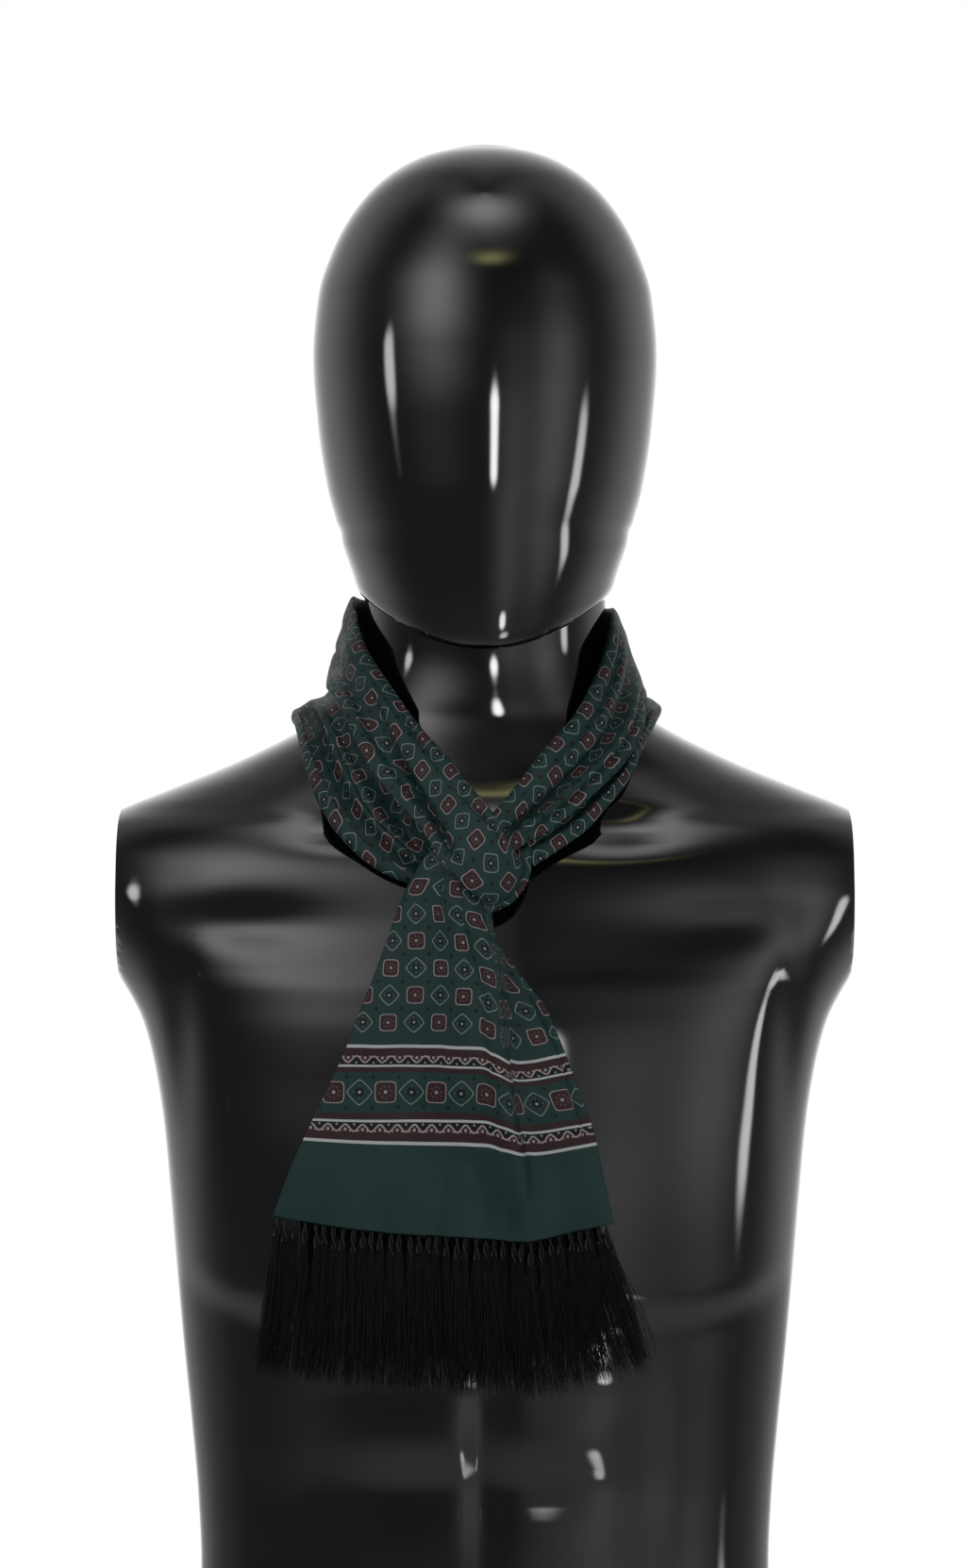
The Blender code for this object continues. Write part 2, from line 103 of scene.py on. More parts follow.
HEAD_SECTIONS = (
    # height, half_width, front_y, back_y
    (588, 34, -79, 16),
    (590, 40, -86, 24),
    (594, 46, -91, 36),
    (599, 51, -95, 48),
    (604, 55, -98, 58),
    (613, 61.5, -100, 70),
    (626, 67, -102, 81),
    (642, 72.5, -104, 88),
    (668, 79, -106, 95),
    (700, 84, -106, 99),
    (735, 86.5, -103, 100),
    (765, 84, -96, 96),
    (790, 76, -85, 88),
    (810, 64.5, -71, 75),
    (825, 50, -54, 58),
    (835, 33, -35, 40),
    (840, 16, -17, 21),
)
HEAD_TOP = (0, 2, 841)
FORM_SIDES = 40
OVAL = 2  # squareness of a plain oval
FAR_OUT = 400.0  # farther than any section of the form reaches
HALVINGS = 40  # of the search for how far it does

# Each band runs from the knot up the -X side, round the nape, and down the +X side to the knot.
# Its inner edge lies against the neck, its outer edge lies away from it.
UPPER_BAND = (
    # inner x, y, z, outer x, y, z, crown height
    (11, -95, 485, -5, -101, 464, 3),
    (17, -104, 482, 2, -109, 459, 6),
    (15, -114, 485, -1, -118, 461, 4),
    (10, -115, 493, -12, -119, 471, 3.5),
    (6, -109, 503, -20, -116, 481, 5),
    (-5, -97, 515, -29, -108, 489, 6),
    (-15, -84, 528, -39, -99, 499, 6),
    (-27, -72, 541, -51, -87, 519, 6),
    (-34, -65, 549, -61, -74, 535, 6),
    (-42, -55, 561, -69, -55, 553, 6),
    (-50, -43, 574, -74, -34, 562, 6),
    (-58, -28, 588, -77, -14, 567, 5),
    (-62, -12, 601, -76, 4, 570, 2),
    (-64, 8, 613, -77, 20, 570, 2),
    (-61, 33, 613, -77, 47, 569, 5),
    (-49, 56, 611, -60, 73, 567, 6),
    (-26, 71, 609, -31, 89, 566, 6),
    (0, 77, 608, 0, 94, 566, 6),
    (26, 71, 608, 31, 89, 566, 6),
    (49, 55, 608, 60, 72, 567, 6),
    (60, 31, 608, 75, 46, 569, 5),
    (62, 5, 607, 77, 20, 569, 2),
    (61, -13, 599, 78, 0, 564, 3),
    (58, -27, 586, 78, -22, 556, 5),
    (52, -42, 569, 77, -44, 545, 5),
    (43, -56, 552, 70, -62, 531, 6),
    (30, -66, 537, 56, -76, 516, 6),
    (17, -77, 520, 37, -90, 500, 5),
    (6, -89, 507, 20, -99, 490, 3),
    (-3, -97, 499, 9, -105, 483, 2),
)
LOWER_BAND = (
    # inner x, y, z, outer x, y, z, crown height
    (-9, -90, 488, -15, -98, 464, 3),
    (-24, -86, 500, -40, -95, 472, 5),
    (-33, -77, 511, -56, -90, 480, 7),
    (-40, -68, 523, -71, -80, 494, 8),
    (-46, -60, 536, -80, -66, 508, 9),
    (-53, -48, 549, -87, -50, 525, 9),
    (-61, -31, 563, -91, -28, 541, 8),
    (-68, -8, 567, -93, -4, 547, 8),
    (-72, 14, 568, -94, 20, 548, 8),
    (-68, 43, 568, -86, 57, 546, 8),
    (-42, 69, 570, -51, 89, 544, 9),
    (0, 82, 570, 0, 98, 543, 9),
    (42, 69, 569, 50, 88, 545, 8),
    (66, 41, 571, 82, 55, 549, 7),
    (71, 11, 567, 86, 15, 553, 6),
    (68, -14, 561, 84, -17, 549, 6),
    (61, -35, 553, 77, -47, 535, 6),
    (52, -51, 538, 70, -62, 520, 5),
    (41, -61, 527, 60, -72, 508, 5),
    (31, -69, 517, 50, -82, 497, 4),
    (20, -79, 506, 36, -91, 487, 3),
    (9, -90, 496, 23, -99, 479, 2),
)
BAND_SECTIONS = 46
BAND_STEPS = 15
TURN_SECTIONS = 3  # of the upper band, round the edge of its own other end
CROSSING_SECTIONS = 13  # over that other end
CROSSED_SECTIONS = 7  # of the other end
UPPER_ROLLS = (math.radians(42), math.radians(-10))  # how far the inner and outer edges roll under
LOWER_ROLLS = (math.radians(5), math.radians(42))
BAND_UNDER = 2.5  # depth of the rolled edges
BAND_FLATNESS = 0.78  # of a section's arch, 1 for an oval
THIN_EDGE = 0.4  # share of the crown's height that is left at a band's thinner edge
TUBE_EDGE = 2  # points at each edge of a band that are rolled under it

UPPER_FOLDS = (
    # place across at the start, at the end, half width, height, start, end along
    (0.80, 0.48, 0.10, -3.6, 0.06, 0.32),
    (0.70, 0.66, 0.10, -3.6, 0.16, 0.40),
    (0.36, 0.36, 0.10, -2.6, 0.36, 0.66),
    (0.70, 0.70, 0.10, -2.8, 0.40, 0.66),
    (0.24, 0.28, 0.10, -2.8, 0.68, 0.94),
    (0.62, 0.55, 0.10, -5.0, 0.68, 1.02),
)
LOWER_FOLDS = (
    # columns as in UPPER_FOLDS
    (0.36, 0.40, 0.09, -5.0, 0.04, 0.30),
    (0.64, 0.68, 0.09, -6.4, 0.02, 0.32),
    (0.50, 0.50, 0.10, -3.4, 0.34, 0.70),
    (0.72, 0.66, 0.10, -3.2, 0.70, 0.98),
)
FOLD_FADE = 0.07  # share of the length over which a fold starts or ends

# Each tail hangs from the knot to its hem; its left edge is the one at -X.
FRONT_TAIL = (
    # left x, y, z, right x, y, z, dip of the middle, crown height
    (-20, -105, 493, -4, -108, 481, 0, 3),
    (-28, -105, 483, -3, -109, 467, 0, 5),
    (-35, -106, 473, 2, -111, 453, 0, 6),
    (-41, -107, 461, 8, -113, 441, 0, 6),
    (-46, -109, 447, 15, -115, 429, 1, 5),
    (-53, -112, 428, 25, -118, 415, 2, 4),
    (-61, -114, 408, 32, -119, 401, 3, 3),
    (-68, -116, 390, 38, -120, 387, 4, 2),
    (-76, -117, 373, 44, -121, 370, 5, 1),
    (-85, -116, 354, 51, -121, 351, 6, 0),
    (-94, -115, 334, 56, -121, 331, 7, 0),
    (-102, -112, 312, 61, -120, 309, 8, 0),
)
BACK_TAIL = (
    # left x, y, z, right x, y, z, dip of the middle, crown height
    (-27, -102, 462, -1, -105, 451, 0, 1),
    (-35, -105, 445, 7, -108, 434, 1, 1),
    (-44, -108, 423, 16, -111, 413, 2, 0),
    (-55, -111, 396, 28, -114, 390, 3, 0),
    (-67, -112, 368, 36, -116, 364, 5, 0),
    (-79, -111, 343, 44, -116, 340, 6, 0),
    (-88, -108, 322, 50, -115, 321, 7, 0),
)
FRONT_TAIL_FOLDS = (
    # columns as in UPPER_FOLDS
    (0.22, 0.14, 0.10, 2.4, 0.00, 0.62),
    (0.42, 0.33, 0.11, -2.2, 0.05, 0.75),
    (0.62, 0.52, 0.09, 2.6, 0.00, 0.70),
    (0.80, 0.72, 0.07, 4.6, 0.08, 0.95),
    (0.94, 0.84, 0.06, -4.2, 0.10, 1.10),
    (0.60, 0.62, 0.12, -1.6, 0.55, 1.10),
    (0.20, 0.22, 0.14, 1.6, 0.60, 1.10),
)
BACK_TAIL_FOLDS = (
    # columns as in UPPER_FOLDS
    (0.30, 0.25, 0.14, 1.6, 0.00, 1.10),
    (0.66, 0.72, 0.14, -1.2, 0.00, 1.10),
)
FRONT_TAIL_GRID = (23, 21)  # sections along, points across
BACK_TAIL_GRID = (14, 13)
TAIL_FLATNESS = 0.6  # of its crown across, 1 for a plain arch
FULL_FOLD_WIDTH = 90.0  # a tail narrower than this has its folds scaled down
REST_ROUNDS = 12  # of moving a cloth clear of what is under it
FRONT_FRINGE_SPREAD = (-7.0, 19.0, 0.0)  # at the left, at the right, back towards the form
BACK_FRINGE_SPREAD = (-5.0, 9.0, 7.0)
FRINGE_PART = 3  # the front tail lies clear of the first third of the back fringe

# ---------------------------------------------------------------- sizes of the finer cloth

SILK = 0.5  # thickness of the doubled silk
FINE_GAP = 1.1  # mid-surface of the fine cloth to what it rests on
FINE_BAND = (300, 84)  # sections along, points across
FINE_FRONT_TAIL = (190, 150)
FINE_BACK_TAIL = (110, 90)
FINE_ROUNDS = 3
FINE_PASSES = 3  # of softening a move along the cloth
FINE_TUBE_EDGE = 12
CREASE_ROUNDING = 0.4  # of the crest of a crease, in shares of its half width

UPPER_CREASES = (
    # columns as in UPPER_FOLDS
    (0.88, 0.36, 0.034, -6.6, 0.04, 0.26),
    (0.04, 0.24, 0.030, -3.6, 0.02, 0.14),
    (0.24, 0.06, 0.030, -3.2, 0.11, 0.24),
    (0.62, 0.60, 0.030, -3.4, 0.10, 0.22),
    (0.66, 0.60, 0.035, -1.4, 0.24, 0.46),
    (0.36, 0.34, 0.045, -2.0, 0.34, 0.62),
    (0.70, 0.72, 0.040, -2.4, 0.44, 0.64),
    (0.24, 0.30, 0.035, -2.4, 0.70, 0.96),
    (0.58, 0.52, 0.040, -4.6, 0.70, 1.02),
    (0.86, 0.82, 0.035, -3.4, 0.74, 1.00),
)
LOWER_CREASES = (
    # columns as in UPPER_FOLDS
    (0.62, 0.12, 0.110, -8.0, -0.05, 0.15),
    (0.30, 0.30, 0.200, -3.4, 0.22, 0.48),
    (0.30, 0.30, 0.200, -3.4, 0.56, 0.80),
    (0.36, 0.46, 0.045, -3.0, 0.10, 0.28),
    (0.72, 0.76, 0.046, -9.5, -0.04, 0.30),
    (0.50, 0.56, 0.034, -4.6, -0.02, 0.22),
    (0.50, 0.50, 0.045, -3.0, 0.42, 0.70),
    (0.76, 0.70, 0.040, -2.2, 0.38, 0.62),
    (0.72, 0.64, 0.045, -2.8, 0.76, 1.02),
)
FRONT_TAIL_CREASES = (
    # columns as in UPPER_FOLDS
    (0.44, 0.34, 0.040, -1.4, 0.02, 0.34),
    (0.26, 0.20, 0.040, -1.0, 0.02, 0.24),
    (0.68, 0.60, 0.035, -1.0, 0.02, 0.38),
    (0.36, 0.28, 0.080, -1.8, 0.60, 1.06),
    (0.58, 0.66, 0.050, -2.2, 0.76, 1.06),
    (0.72, 0.67, 0.022, -1.8, 0.84, 1.07),
    (0.50, 0.47, 0.026, -1.4, 0.82, 1.07),
)
BACK_TAIL_CREASES = (
    # columns as in UPPER_FOLDS
    (0.45, 0.48, 0.060, -0.8, 0.10, 0.80),
)
BAND_UNEVEN = ((60, 16), 0.7)  # length of a wave along and across, height
TAIL_UNEVEN = ((70, 30), 1.1)

# The front tail's right side is folded back: its cloth turns at a ridge and goes on behind it.
FRONT_RIDGE = (
    # height above the hem, x of the ridge
    (0, 22),
    (36, 17),
    (54, 12),
    (82, 8),
    (97, 6),
    (126, 4),
    (150, 0),
    (200, -14),
)
RIDGE_LIFT = 4.5  # how far the ridge stands out, falling off softly to its left
RIDGE_LEFT = 26.0
FOLD_BACK = 6.0  # how far the cloth steps back at the ridge
FOLD_BACK_HEIGHTS = (4, 56)  # heights above the hem at which the step starts and is full
FOLD_BACK_ACROSS = (-1.0, 7.0)  # from the ridge, where it starts and is full
HEM_DIP = 4.2  # how far the hem hangs lower at the ridge
HEM_DIP_WIDTH = 24.0
HEM_FORWARD = 2.5  # how far it stands off the other tail
HEM_REACH = 60.0  # height above the hem over which both fade
ROLL_RADIUS = 0.9  # of a rolled and stitched long edge
ROLL_STEPS = 7
ROLL_TURN = 1.5 * math.pi

# Where the upper band turns round its own other end, and the loop's rolled edge beside it.
TURN_BACK = 1.5  # how far the upper band's turn is drawn back from the loop's edge
TURN_ROUNDING = 4.0  # how much further its corners are
CORNER_SHARPNESS = 2.5  # the higher, the closer to the very edges they begin
TURN_FADE = (0.03, 0.085)  # shares of its length over which that fades
TURN_WAY = np.array((-0.61, 0.0, 0.79))  # from the turn up along the band
NOTCH = (3.4, 0.0, 4.2)  # by x, y and z, how far its outer edge draws back from the lower band
NOTCH_ALONG = (0.075, 0.12, 0.18)  # shares of its length where that starts, is full, and ends
NOTCH_ACROSS = (0.5, 1.0)  # shares of its width between which that grows
LOOP_ROLL = (
    # inner x, y, z, outer x, y, z, crown height
    (13, -88, 495, 21, -92, 490, 1),
    (12, -92, 490, 22.5, -99, 485, 2),
    (11.5, -96, 484, 23, -103, 479, 3),
    (9, -98, 477, 20.5, -106, 470.5, 3),
    (4, -100, 472, 13.5, -109, 462, 3),
    (-3, -102, 470, 4, -111, 457.5, 3),
    (-10, -103, 468, -5, -111, 455, 2),
)
LOOP_ROLL_GRID = (70, 32)
LOOP_ROLLS = LOWER_ROLLS
TUCKED_ROWS = 14  # rows of the fine upper band at its start, hidden inside the knot
CROSSED_ROWS = 34  # rows at its crossed end, which only moves forward
PRESS_PASSES = 8  # of softening that move
FAR_FRONT = -300.0  # in front of everything

# ---------------------------------------------------------------- the print, by measure

PITCH_ACROSS = 12.5
PITCH_ALONG = 13.1
UPRIGHT = -44.0  # x of the tails' first column at the hem
UPRIGHT_LEAN = 0.038  # how far it leans to the right for each millimetre up, in front
EDGE_LENGTH = 104.2  # length across from there to the front tail's right edge
STRAIGHT_HEIGHT = 60.0  # above the hem, where the print no longer follows the hem's dip
FOLD_DIP = 8.0  # how far the print dips in the fold behind the ridge
FOLD_DIP_WIDTHS = (10.0, 24.0)  # left of the dip, right of it
FOLD_DIP_PLACE = 9.0  # right of the ridge
HIDDEN_STRIP = (1.0, 6.5)  # from the ridge, where the cloth folded away lies

BORDER_TOP = 82.9  # height above the hem at which the border's first white line ends
BORDER_LINES = (
    # height above the hem, thickness
    (82.1, 1.5),
    (72.7, 1.1),
    (46.8, 1.1),
    (37.5, 1.4),
)
FIRST_ROW = 93.6  # height above the hem of the first row of small motifs
PLAIN_BELOW_ROW = 5.4  # how far below that row's middle the field of small motifs ends
LARGE_ROW = 60.0  # height above the hem of the middle of the large motifs
LARGE_PITCH = 12.5
PLAIN_BANDS = ((69.5, 72.1), (47.4, 50.4))  # heights of the plain maroon bands beside the large row
UPPER_SCROLLS = (73.3, 81.4)  # heights of the maroon bands with a waving line
LOWER_SCROLLS = (38.2, 46.3)
SCROLL_PITCH = 8.3

TWILL_PITCH = 1.0  # between two diagonal ribs
TWILL_CONTRAST = 0.3  # how much lighter the ribs are

SCROLL_MIDDLE = 2.6  # height of a scroll's waving line above its band's inner edge
SCROLL_SWING = 1.5
SCROLL_LINE = 0.34  # half the thickness of that line
SLOPE_SHARE = 0.6  # how much thicker it is measured upright where it slopes most
SCROLL_DOTS = (
    # offset along in shares of the pitch, height, radius
    (0.5, 1.0, 0.5),
    (0.0, 3.3, 0.72),
    (0.27, 3.9, 0.42),
    (-0.27, 3.9, 0.42),
    (0.13, 1.9, 0.3),
    (-0.13, 1.9, 0.3),
)

MOTIF_LINE = 0.40  # thickness of the line round a motif
SMALL_SIZES = (4.1, 5.0)  # half widths of a square and a diamond
SMALL_DOT = 1.0  # radius of the dot between each four
LARGE_SIZES = (5.2, 6.2)
LARGE_DOTS = (7.2, 0.9)  # height above and below the row, radius
SQUARE_ROUNDING = 5  # 2 is a circle, 1 a diamond, as in Tree.round_distance
SPECK_RING = (0.42, 0.62)  # shares of a square's size between which its specks lie
SPECKS = 8
SPECK_FROM = 0.45  # height of the sine round that ring from which it is a speck
SQUARE_DOT = 0.16  # radius of its middle dot, as a share of its size
DIAMOND_ROUNDING = 1.22
DIAMOND_LINE_SHARE = 1.15  # its line's thickness in shares of the square's
PETAL_ROUNDING = 0.8
PETAL_REACH = 0.6  # shares of a diamond's size
MARK_RING = (0.36, 0.52)
MARK_HALF_WIDTH = 0.35
DIAMOND_DOT = 0.12

# ---------------------------------------------------------------- grids as the solids have them


def smooth_step(value, low, high):
    share = np.clip((value - low) / (high - low), 0, 1)
    return share * share * (3 - 2 * share)


def spline(rows, count):
    """Count rows on a Catmull-Rom curve through the table's rows, evenly spaced by length."""
    rows = np.array(rows, float)
    middle = (rows[:, 0:3] + rows[:, 3:6]) / 2
    steps = np.linalg.norm(np.diff(middle, axis=0), axis=1)
    places = np.concatenate([[0], np.cumsum(steps)])
    padded = np.vstack([2 * rows[0] - rows[1], rows, 2 * rows[-1] - rows[-2]])
    result = []
    for place in np.linspace(0, places[-1], count):
        i = min(np.searchsorted(places, place, side="right") - 1, len(rows) - 2)
        t = (place - places[i]) / (places[i + 1] - places[i])
        p0, p1, p2, p3 = padded[i : i + 4]
        result.append(
            p1
            + 0.5 * t * (p2 - p0)
            + t * t * (p0 - 2.5 * p1 + 2 * p2 - 0.5 * p3)
            + t**3 * (1.5 * (p1 - p2) + 0.5 * (p3 - p0))
        )
    return np.array(result)


def outward(inner, outer):
    """The direction out of the cloth at each section, from its length and its width."""
    along = np.gradient((inner + outer) / 2, axis=0)
    normals = np.cross(along, outer - inner)
    for _ in range(2):
        normals[1:-1] = (normals[:-2] + 2 * normals[1:-1] + normals[2:]) / 4
    return normals / np.linalg.norm(normals, axis=1, keepdims=True)


def fold_height(folds, across, along, sharp=False):
    """The height of the table's folds at places across and along a cloth, both from 0 to 1.

    A sharp fold is a narrow crease with rounded flanks; a soft one is a plain bulge or trough.
    """
    height = np.zeros(np.broadcast(across, along).shape)
    for start_place, end_place, half_width, size, start, end in folds:
        fade = smooth_step(np.minimum(along - start, end - along), 0, FOLD_FADE)
        share = (along - start) / (end - start)
        place = start_place + (end_place - start_place) * share
        reach = (across - place) / half_width
        if sharp:
            shape = np.exp(CREASE_ROUNDING - np.sqrt(reach**2 + CREASE_ROUNDING**2))
        else:
            shape = np.exp(-(reach**2))
        height += size * fade * shape
    return height


def band_places(rolls, steps):
    """Across and rise of each point of a band's section, both from 0 to 1."""
    share = np.linspace(0, 1, steps)
    angle = math.pi + rolls[0] - share * (math.pi + sum(rolls))
    side, rise = np.cos(angle), np.sin(angle)
    across = 0.5 + 0.5 * np.sign(side) * np.abs(side) ** BAND_FLATNESS
    return across, rise


def band_grid(rows, folds, rolls, thin_edge):
    """A flattened tube, open underneath: its crown carries the folds, its edges roll under.

    The crown is lower towards the thin edge, which is 0 for the inner one and 1 for the outer.
    """
    table = spline(rows, BAND_SECTIONS)
    inner, outer, crown = table[:, None, 0:3], table[:, None, 3:6], table[:, None, 6]
    normals = outward(table[:, 0:3], table[:, 3:6])[:, None]
    along = np.linspace(0, 1, BAND_SECTIONS)[:, None]
    across, rise = band_places(rolls, BAND_STEPS)
    over = np.maximum(rise, 0)
    thinness = THIN_EDGE + (1 - THIN_EDGE) * np.abs(across - thin_edge)
    lift = BAND_UNDER - BAND_UNDER * np.maximum(-rise, 0) ** BAND_FLATNESS
    lift = lift + crown * thinness * over**BAND_FLATNESS
    lift = lift + fold_height(folds, across, along) * np.sqrt(over)
    return inner + (outer - inner) * across[:, None] + normals * lift[..., None]


def tail_grid(rows, folds, shape):
    """A flat end of the scarf, fanning out from the knot, with soft lengthwise folds."""
    sections, steps = shape
    table = spline(rows, sections)
    left, right = table[:, None, 0:3], table[:, None, 3:6]
    dip, crown = table[:, None, 6], table[:, None, 7]
    normals = outward(table[:, 0:3], table[:, 3:6])[:, None]
    along = np.linspace(0, 1, sections)[:, None]
    across = np.linspace(0, 1, steps)
    width = np.linalg.norm(right - left, axis=2)
    bow = np.maximum(np.sin(math.pi * across), 0)
    height = fold_height(folds, across, along) * np.minimum(1.0, width / FULL_FOLD_WIDTH)
    height = height + crown * bow**TAIL_FLATNESS
    grid = left + (right - left) * across[:, None] + normals * height[..., None]
    grid[..., 2] -= dip * bow
    return grid


def faces_of(grid):
    """The four-sided faces between the points of a grid."""
    rows, columns = grid.shape[:2]
    return [
        (i * columns + j, (i + 1) * columns + j, (i + 1) * columns + j + 1, i * columns + j + 1)
        for i in range(rows - 1)
        for j in range(columns - 1)
    ]


def surface(points, faces):
    return BVHTree.FromPolygons([Vector(point) for point in points], faces)


def grid_surface(grid):
    return surface(grid.reshape(-1, 3), faces_of(grid))


def tube_layer(grid, gap, edge=TUBE_EDGE):
    """A band as something to lie on: its closed tube, its crown to come out at, and a gap."""
    rows, columns = grid.shape[:2]
    walls = faces_of(grid)
    for i in range(rows - 1):
        first, last = i * columns, (i + 1) * columns - 1
        walls.append((last, last + columns, first + columns, first))
    return (surface(grid.reshape(-1, 3), walls), grid_surface(grid[:, edge:-edge]), gap)


def sheet_layer(grid, gap):
    """A flat cloth as something to lie on, from its outward side only."""
    return (None, grid_surface(grid), gap)


def clearing_move(point, layer):
    """How a point moves to lie clear of a layer, or None where it is clear already."""
    closed, out, gap = layer
    if closed is None:
        nearest, normal, _face, _distance = out.find_nearest(point, REACH)
        if nearest is None:
            return None
        depth = (point - nearest).dot(normal)
        aside = (point - nearest - normal * depth).length
        return normal * (gap - depth) if depth < gap and aside < ASIDE else None
    nearest, normal, _face, distance = closed.find_nearest(point, REACH)
    if nearest is None:
        return None
    if (point - nearest).dot(normal) < 0:
        nearest, normal, _face, _distance = out.find_nearest(point)
        return nearest - point + normal * gap
    return (point - nearest).normalized() * (gap - distance) if distance < gap else None


def spread_out(push, passes):
    """The push of each point, or that of its neighbours along the cloth where it is longer."""
    for _ in range(passes):
        spread = push.copy()
        spread[1:-1] = (push[:-2] + 2 * push[1:-1] + push[2:]) / 4
        longer = np.linalg.norm(spread, axis=2) > np.linalg.norm(push, axis=2)
        push[longer] = spread[longer]
    return push


def rest_on(grid, layers, rounds=REST_ROUNDS, passes=1):
    """Moves a cloth out until it clears every layer under it."""
    grid = grid.copy()
    for _ in range(rounds):
        push = np.zeros_like(grid)
        for index in np.ndindex(grid.shape[:2]):
            for layer in layers:
                move = clearing_move(Vector(grid[index]), layer)
                if move is not None and move.length > np.linalg.norm(push[index]):
                    push[index] = move
        grid += spread_out(push, passes)
    return grid


# ---------------------------------------------------------------- finer grids


def spline_weights(knots, targets):
    """Weights that carry values at the knots to the targets, along a natural cubic through them."""
    knots, targets = np.asarray(knots, float), np.asarray(targets, float)
    count = len(knots)
    gaps = np.diff(knots)
    system, source = np.eye(count), np.zeros((count, count))
    for i in range(1, count - 1):
        before, after = gaps[i - 1], gaps[i]
        system[i, i - 1 : i + 2] = before, 2 * (before + after), after
        source[i, i - 1 : i + 2] = 6 / before, -6 / before - 6 / after, 6 / after
    bends = np.linalg.solve(system, source)
    cell = np.clip(np.searchsorted(knots, targets, side="right") - 1, 0, count - 2)
    gap = gaps[cell][:, None]
    near = (knots[cell + 1] - targets)[:, None] / gap
    far = 1 - near
    same = np.eye(count)
    weights = near * same[cell] + far * same[cell + 1]
    weights += (near**3 - near) * gap**2 / 6 * bends[cell]
    return weights + (far**3 - far) * gap**2 / 6 * bends[cell + 1]


def refine(grid, shape):
    """A grid of another shape on the smooth surface through this one."""
    for axis in (0, 1):
        count = grid.shape[axis]
        weights = spline_weights(range(count), np.linspace(0, count - 1, shape[axis]))
        grid = np.moveaxis(np.tensordot(weights, grid, (1, axis)), 0, axis)
    return grid


def grid_normals(grid):
    normals = np.cross(np.gradient(grid, axis=0), np.gradient(grid, axis=1))
    return normals / np.maximum(np.linalg.norm(normals, axis=2, keepdims=True), 1e-9)


def soft_noise(grid, stretch, size, seed):
    """Smooth uneven heights up to about this size, for the cloth's small give.

    Stretch is the length of one wave along and across the cloth.
    """
    along, across = cloth_lengths(grid)
    heights = np.zeros(grid.shape[:2])
    for index in np.ndindex(heights.shape):
        place = Vector((along[index] / stretch[0], across[index] / stretch[1], seed))
        heights[index] = noise.noise(place)
    return size * heights


def widths_so_far(grid):
    """The length across each row, from its first point to each of its points."""
    widths = np.linalg.norm(np.diff(grid, axis=1), axis=2)
    return np.concatenate([np.zeros((len(grid), 1)), np.cumsum(widths, axis=1)], axis=1)


def cloth_lengths(grid):
    """Lengths along and across the cloth, from its first row and its middle column."""
    middle = grid.shape[1] // 2
    steps = np.linalg.norm(np.diff(grid[:, middle], axis=0), axis=1)
    along = np.concatenate([[0], np.cumsum(steps)])[:, None] * np.ones(grid.shape[1])
    across = widths_so_far(grid)
    return along, across - across[:, middle : middle + 1]


def from_upright(grid, upright):
    """Lengths across each row from the column at x = upright, as seen from above."""
    across = widths_so_far(grid[..., :2])
    for i, row in enumerate(grid):
        across[i] -= np.interp(upright[i], row[:, 0], across[i])
    return across


def above_hem(grid):
    """Lengths up each column from the hem, and how far the hem lies below its left end."""
    drops = np.linalg.norm(np.diff(grid[:, :, 1:], axis=0), axis=2)
    height = np.concatenate([np.cumsum(drops[::-1], axis=0)[::-1], np.zeros((1, grid.shape[1]))])
    return height, grid[-1, 0, 2] - grid[-1, :, 2]


def back_tail_lengths(grid):
    """Lengths up and across the back tail's print, which hangs straight."""
    height, _drop = above_hem(grid)
    return height, from_upright(grid, np.full(len(grid), UPRIGHT))


def past_ridge(grid, height):
    """How far each point lies to the right of the front tail's ridge."""
    heights, places = np.array(FRONT_RIDGE, float).T
    return grid[..., 0] - np.interp(height, heights, places)


def front_tail_lengths(grid):
    """Lengths up and across the front tail's print.

    The print hangs straight on the left. Right of the ridge it follows the right edge, so
    the strip of cloth between the two is folded away, and the rows dip there.
    """
    height, drop = above_hem(grid)
    left = from_upright(grid, UPRIGHT + UPRIGHT_LEAN * height[:, 0])
    right = left - left[:, -1:] + EDGE_LENGTH
    past = past_ridge(grid, height)
    across = left + (right - left) * smooth_step(past, *HIDDEN_STRIP)
    aside = past - FOLD_DIP_PLACE
    width = np.where(aside < 0, *FOLD_DIP_WIDTHS)
    dip = FOLD_DIP * np.exp(-((aside / width) ** 2)) * np.clip(height / BORDER_TOP, 0, 1)
    straight = np.clip(height / STRAIGHT_HEIGHT, 0, 1)
    return height - drop * straight + dip, across


def fold_right_side_back(grid):
    """Steps the front tail's cloth back at its ridge, more so higher up."""
    height, _drop = above_hem(grid)
    past = past_ridge(grid, height)
    lift = RIDGE_LIFT * np.exp(-((np.minimum(past, 0) / RIDGE_LEFT) ** 2))
    step = (RIDGE_LIFT + FOLD_BACK) * smooth_step(past, *FOLD_BACK_ACROSS)
    full = smooth_step(height, *FOLD_BACK_HEIGHTS)
    grid = grid + grid_normals(grid) * ((lift - step) * full)[..., None]
    near = 1 - smooth_step(height, 0, HEM_REACH)
    grid[..., 1] -= HEM_FORWARD * near
    grid[..., 2] -= HEM_DIP * near * np.exp(-((past / HEM_DIP_WIDTH) ** 2))
    return grid


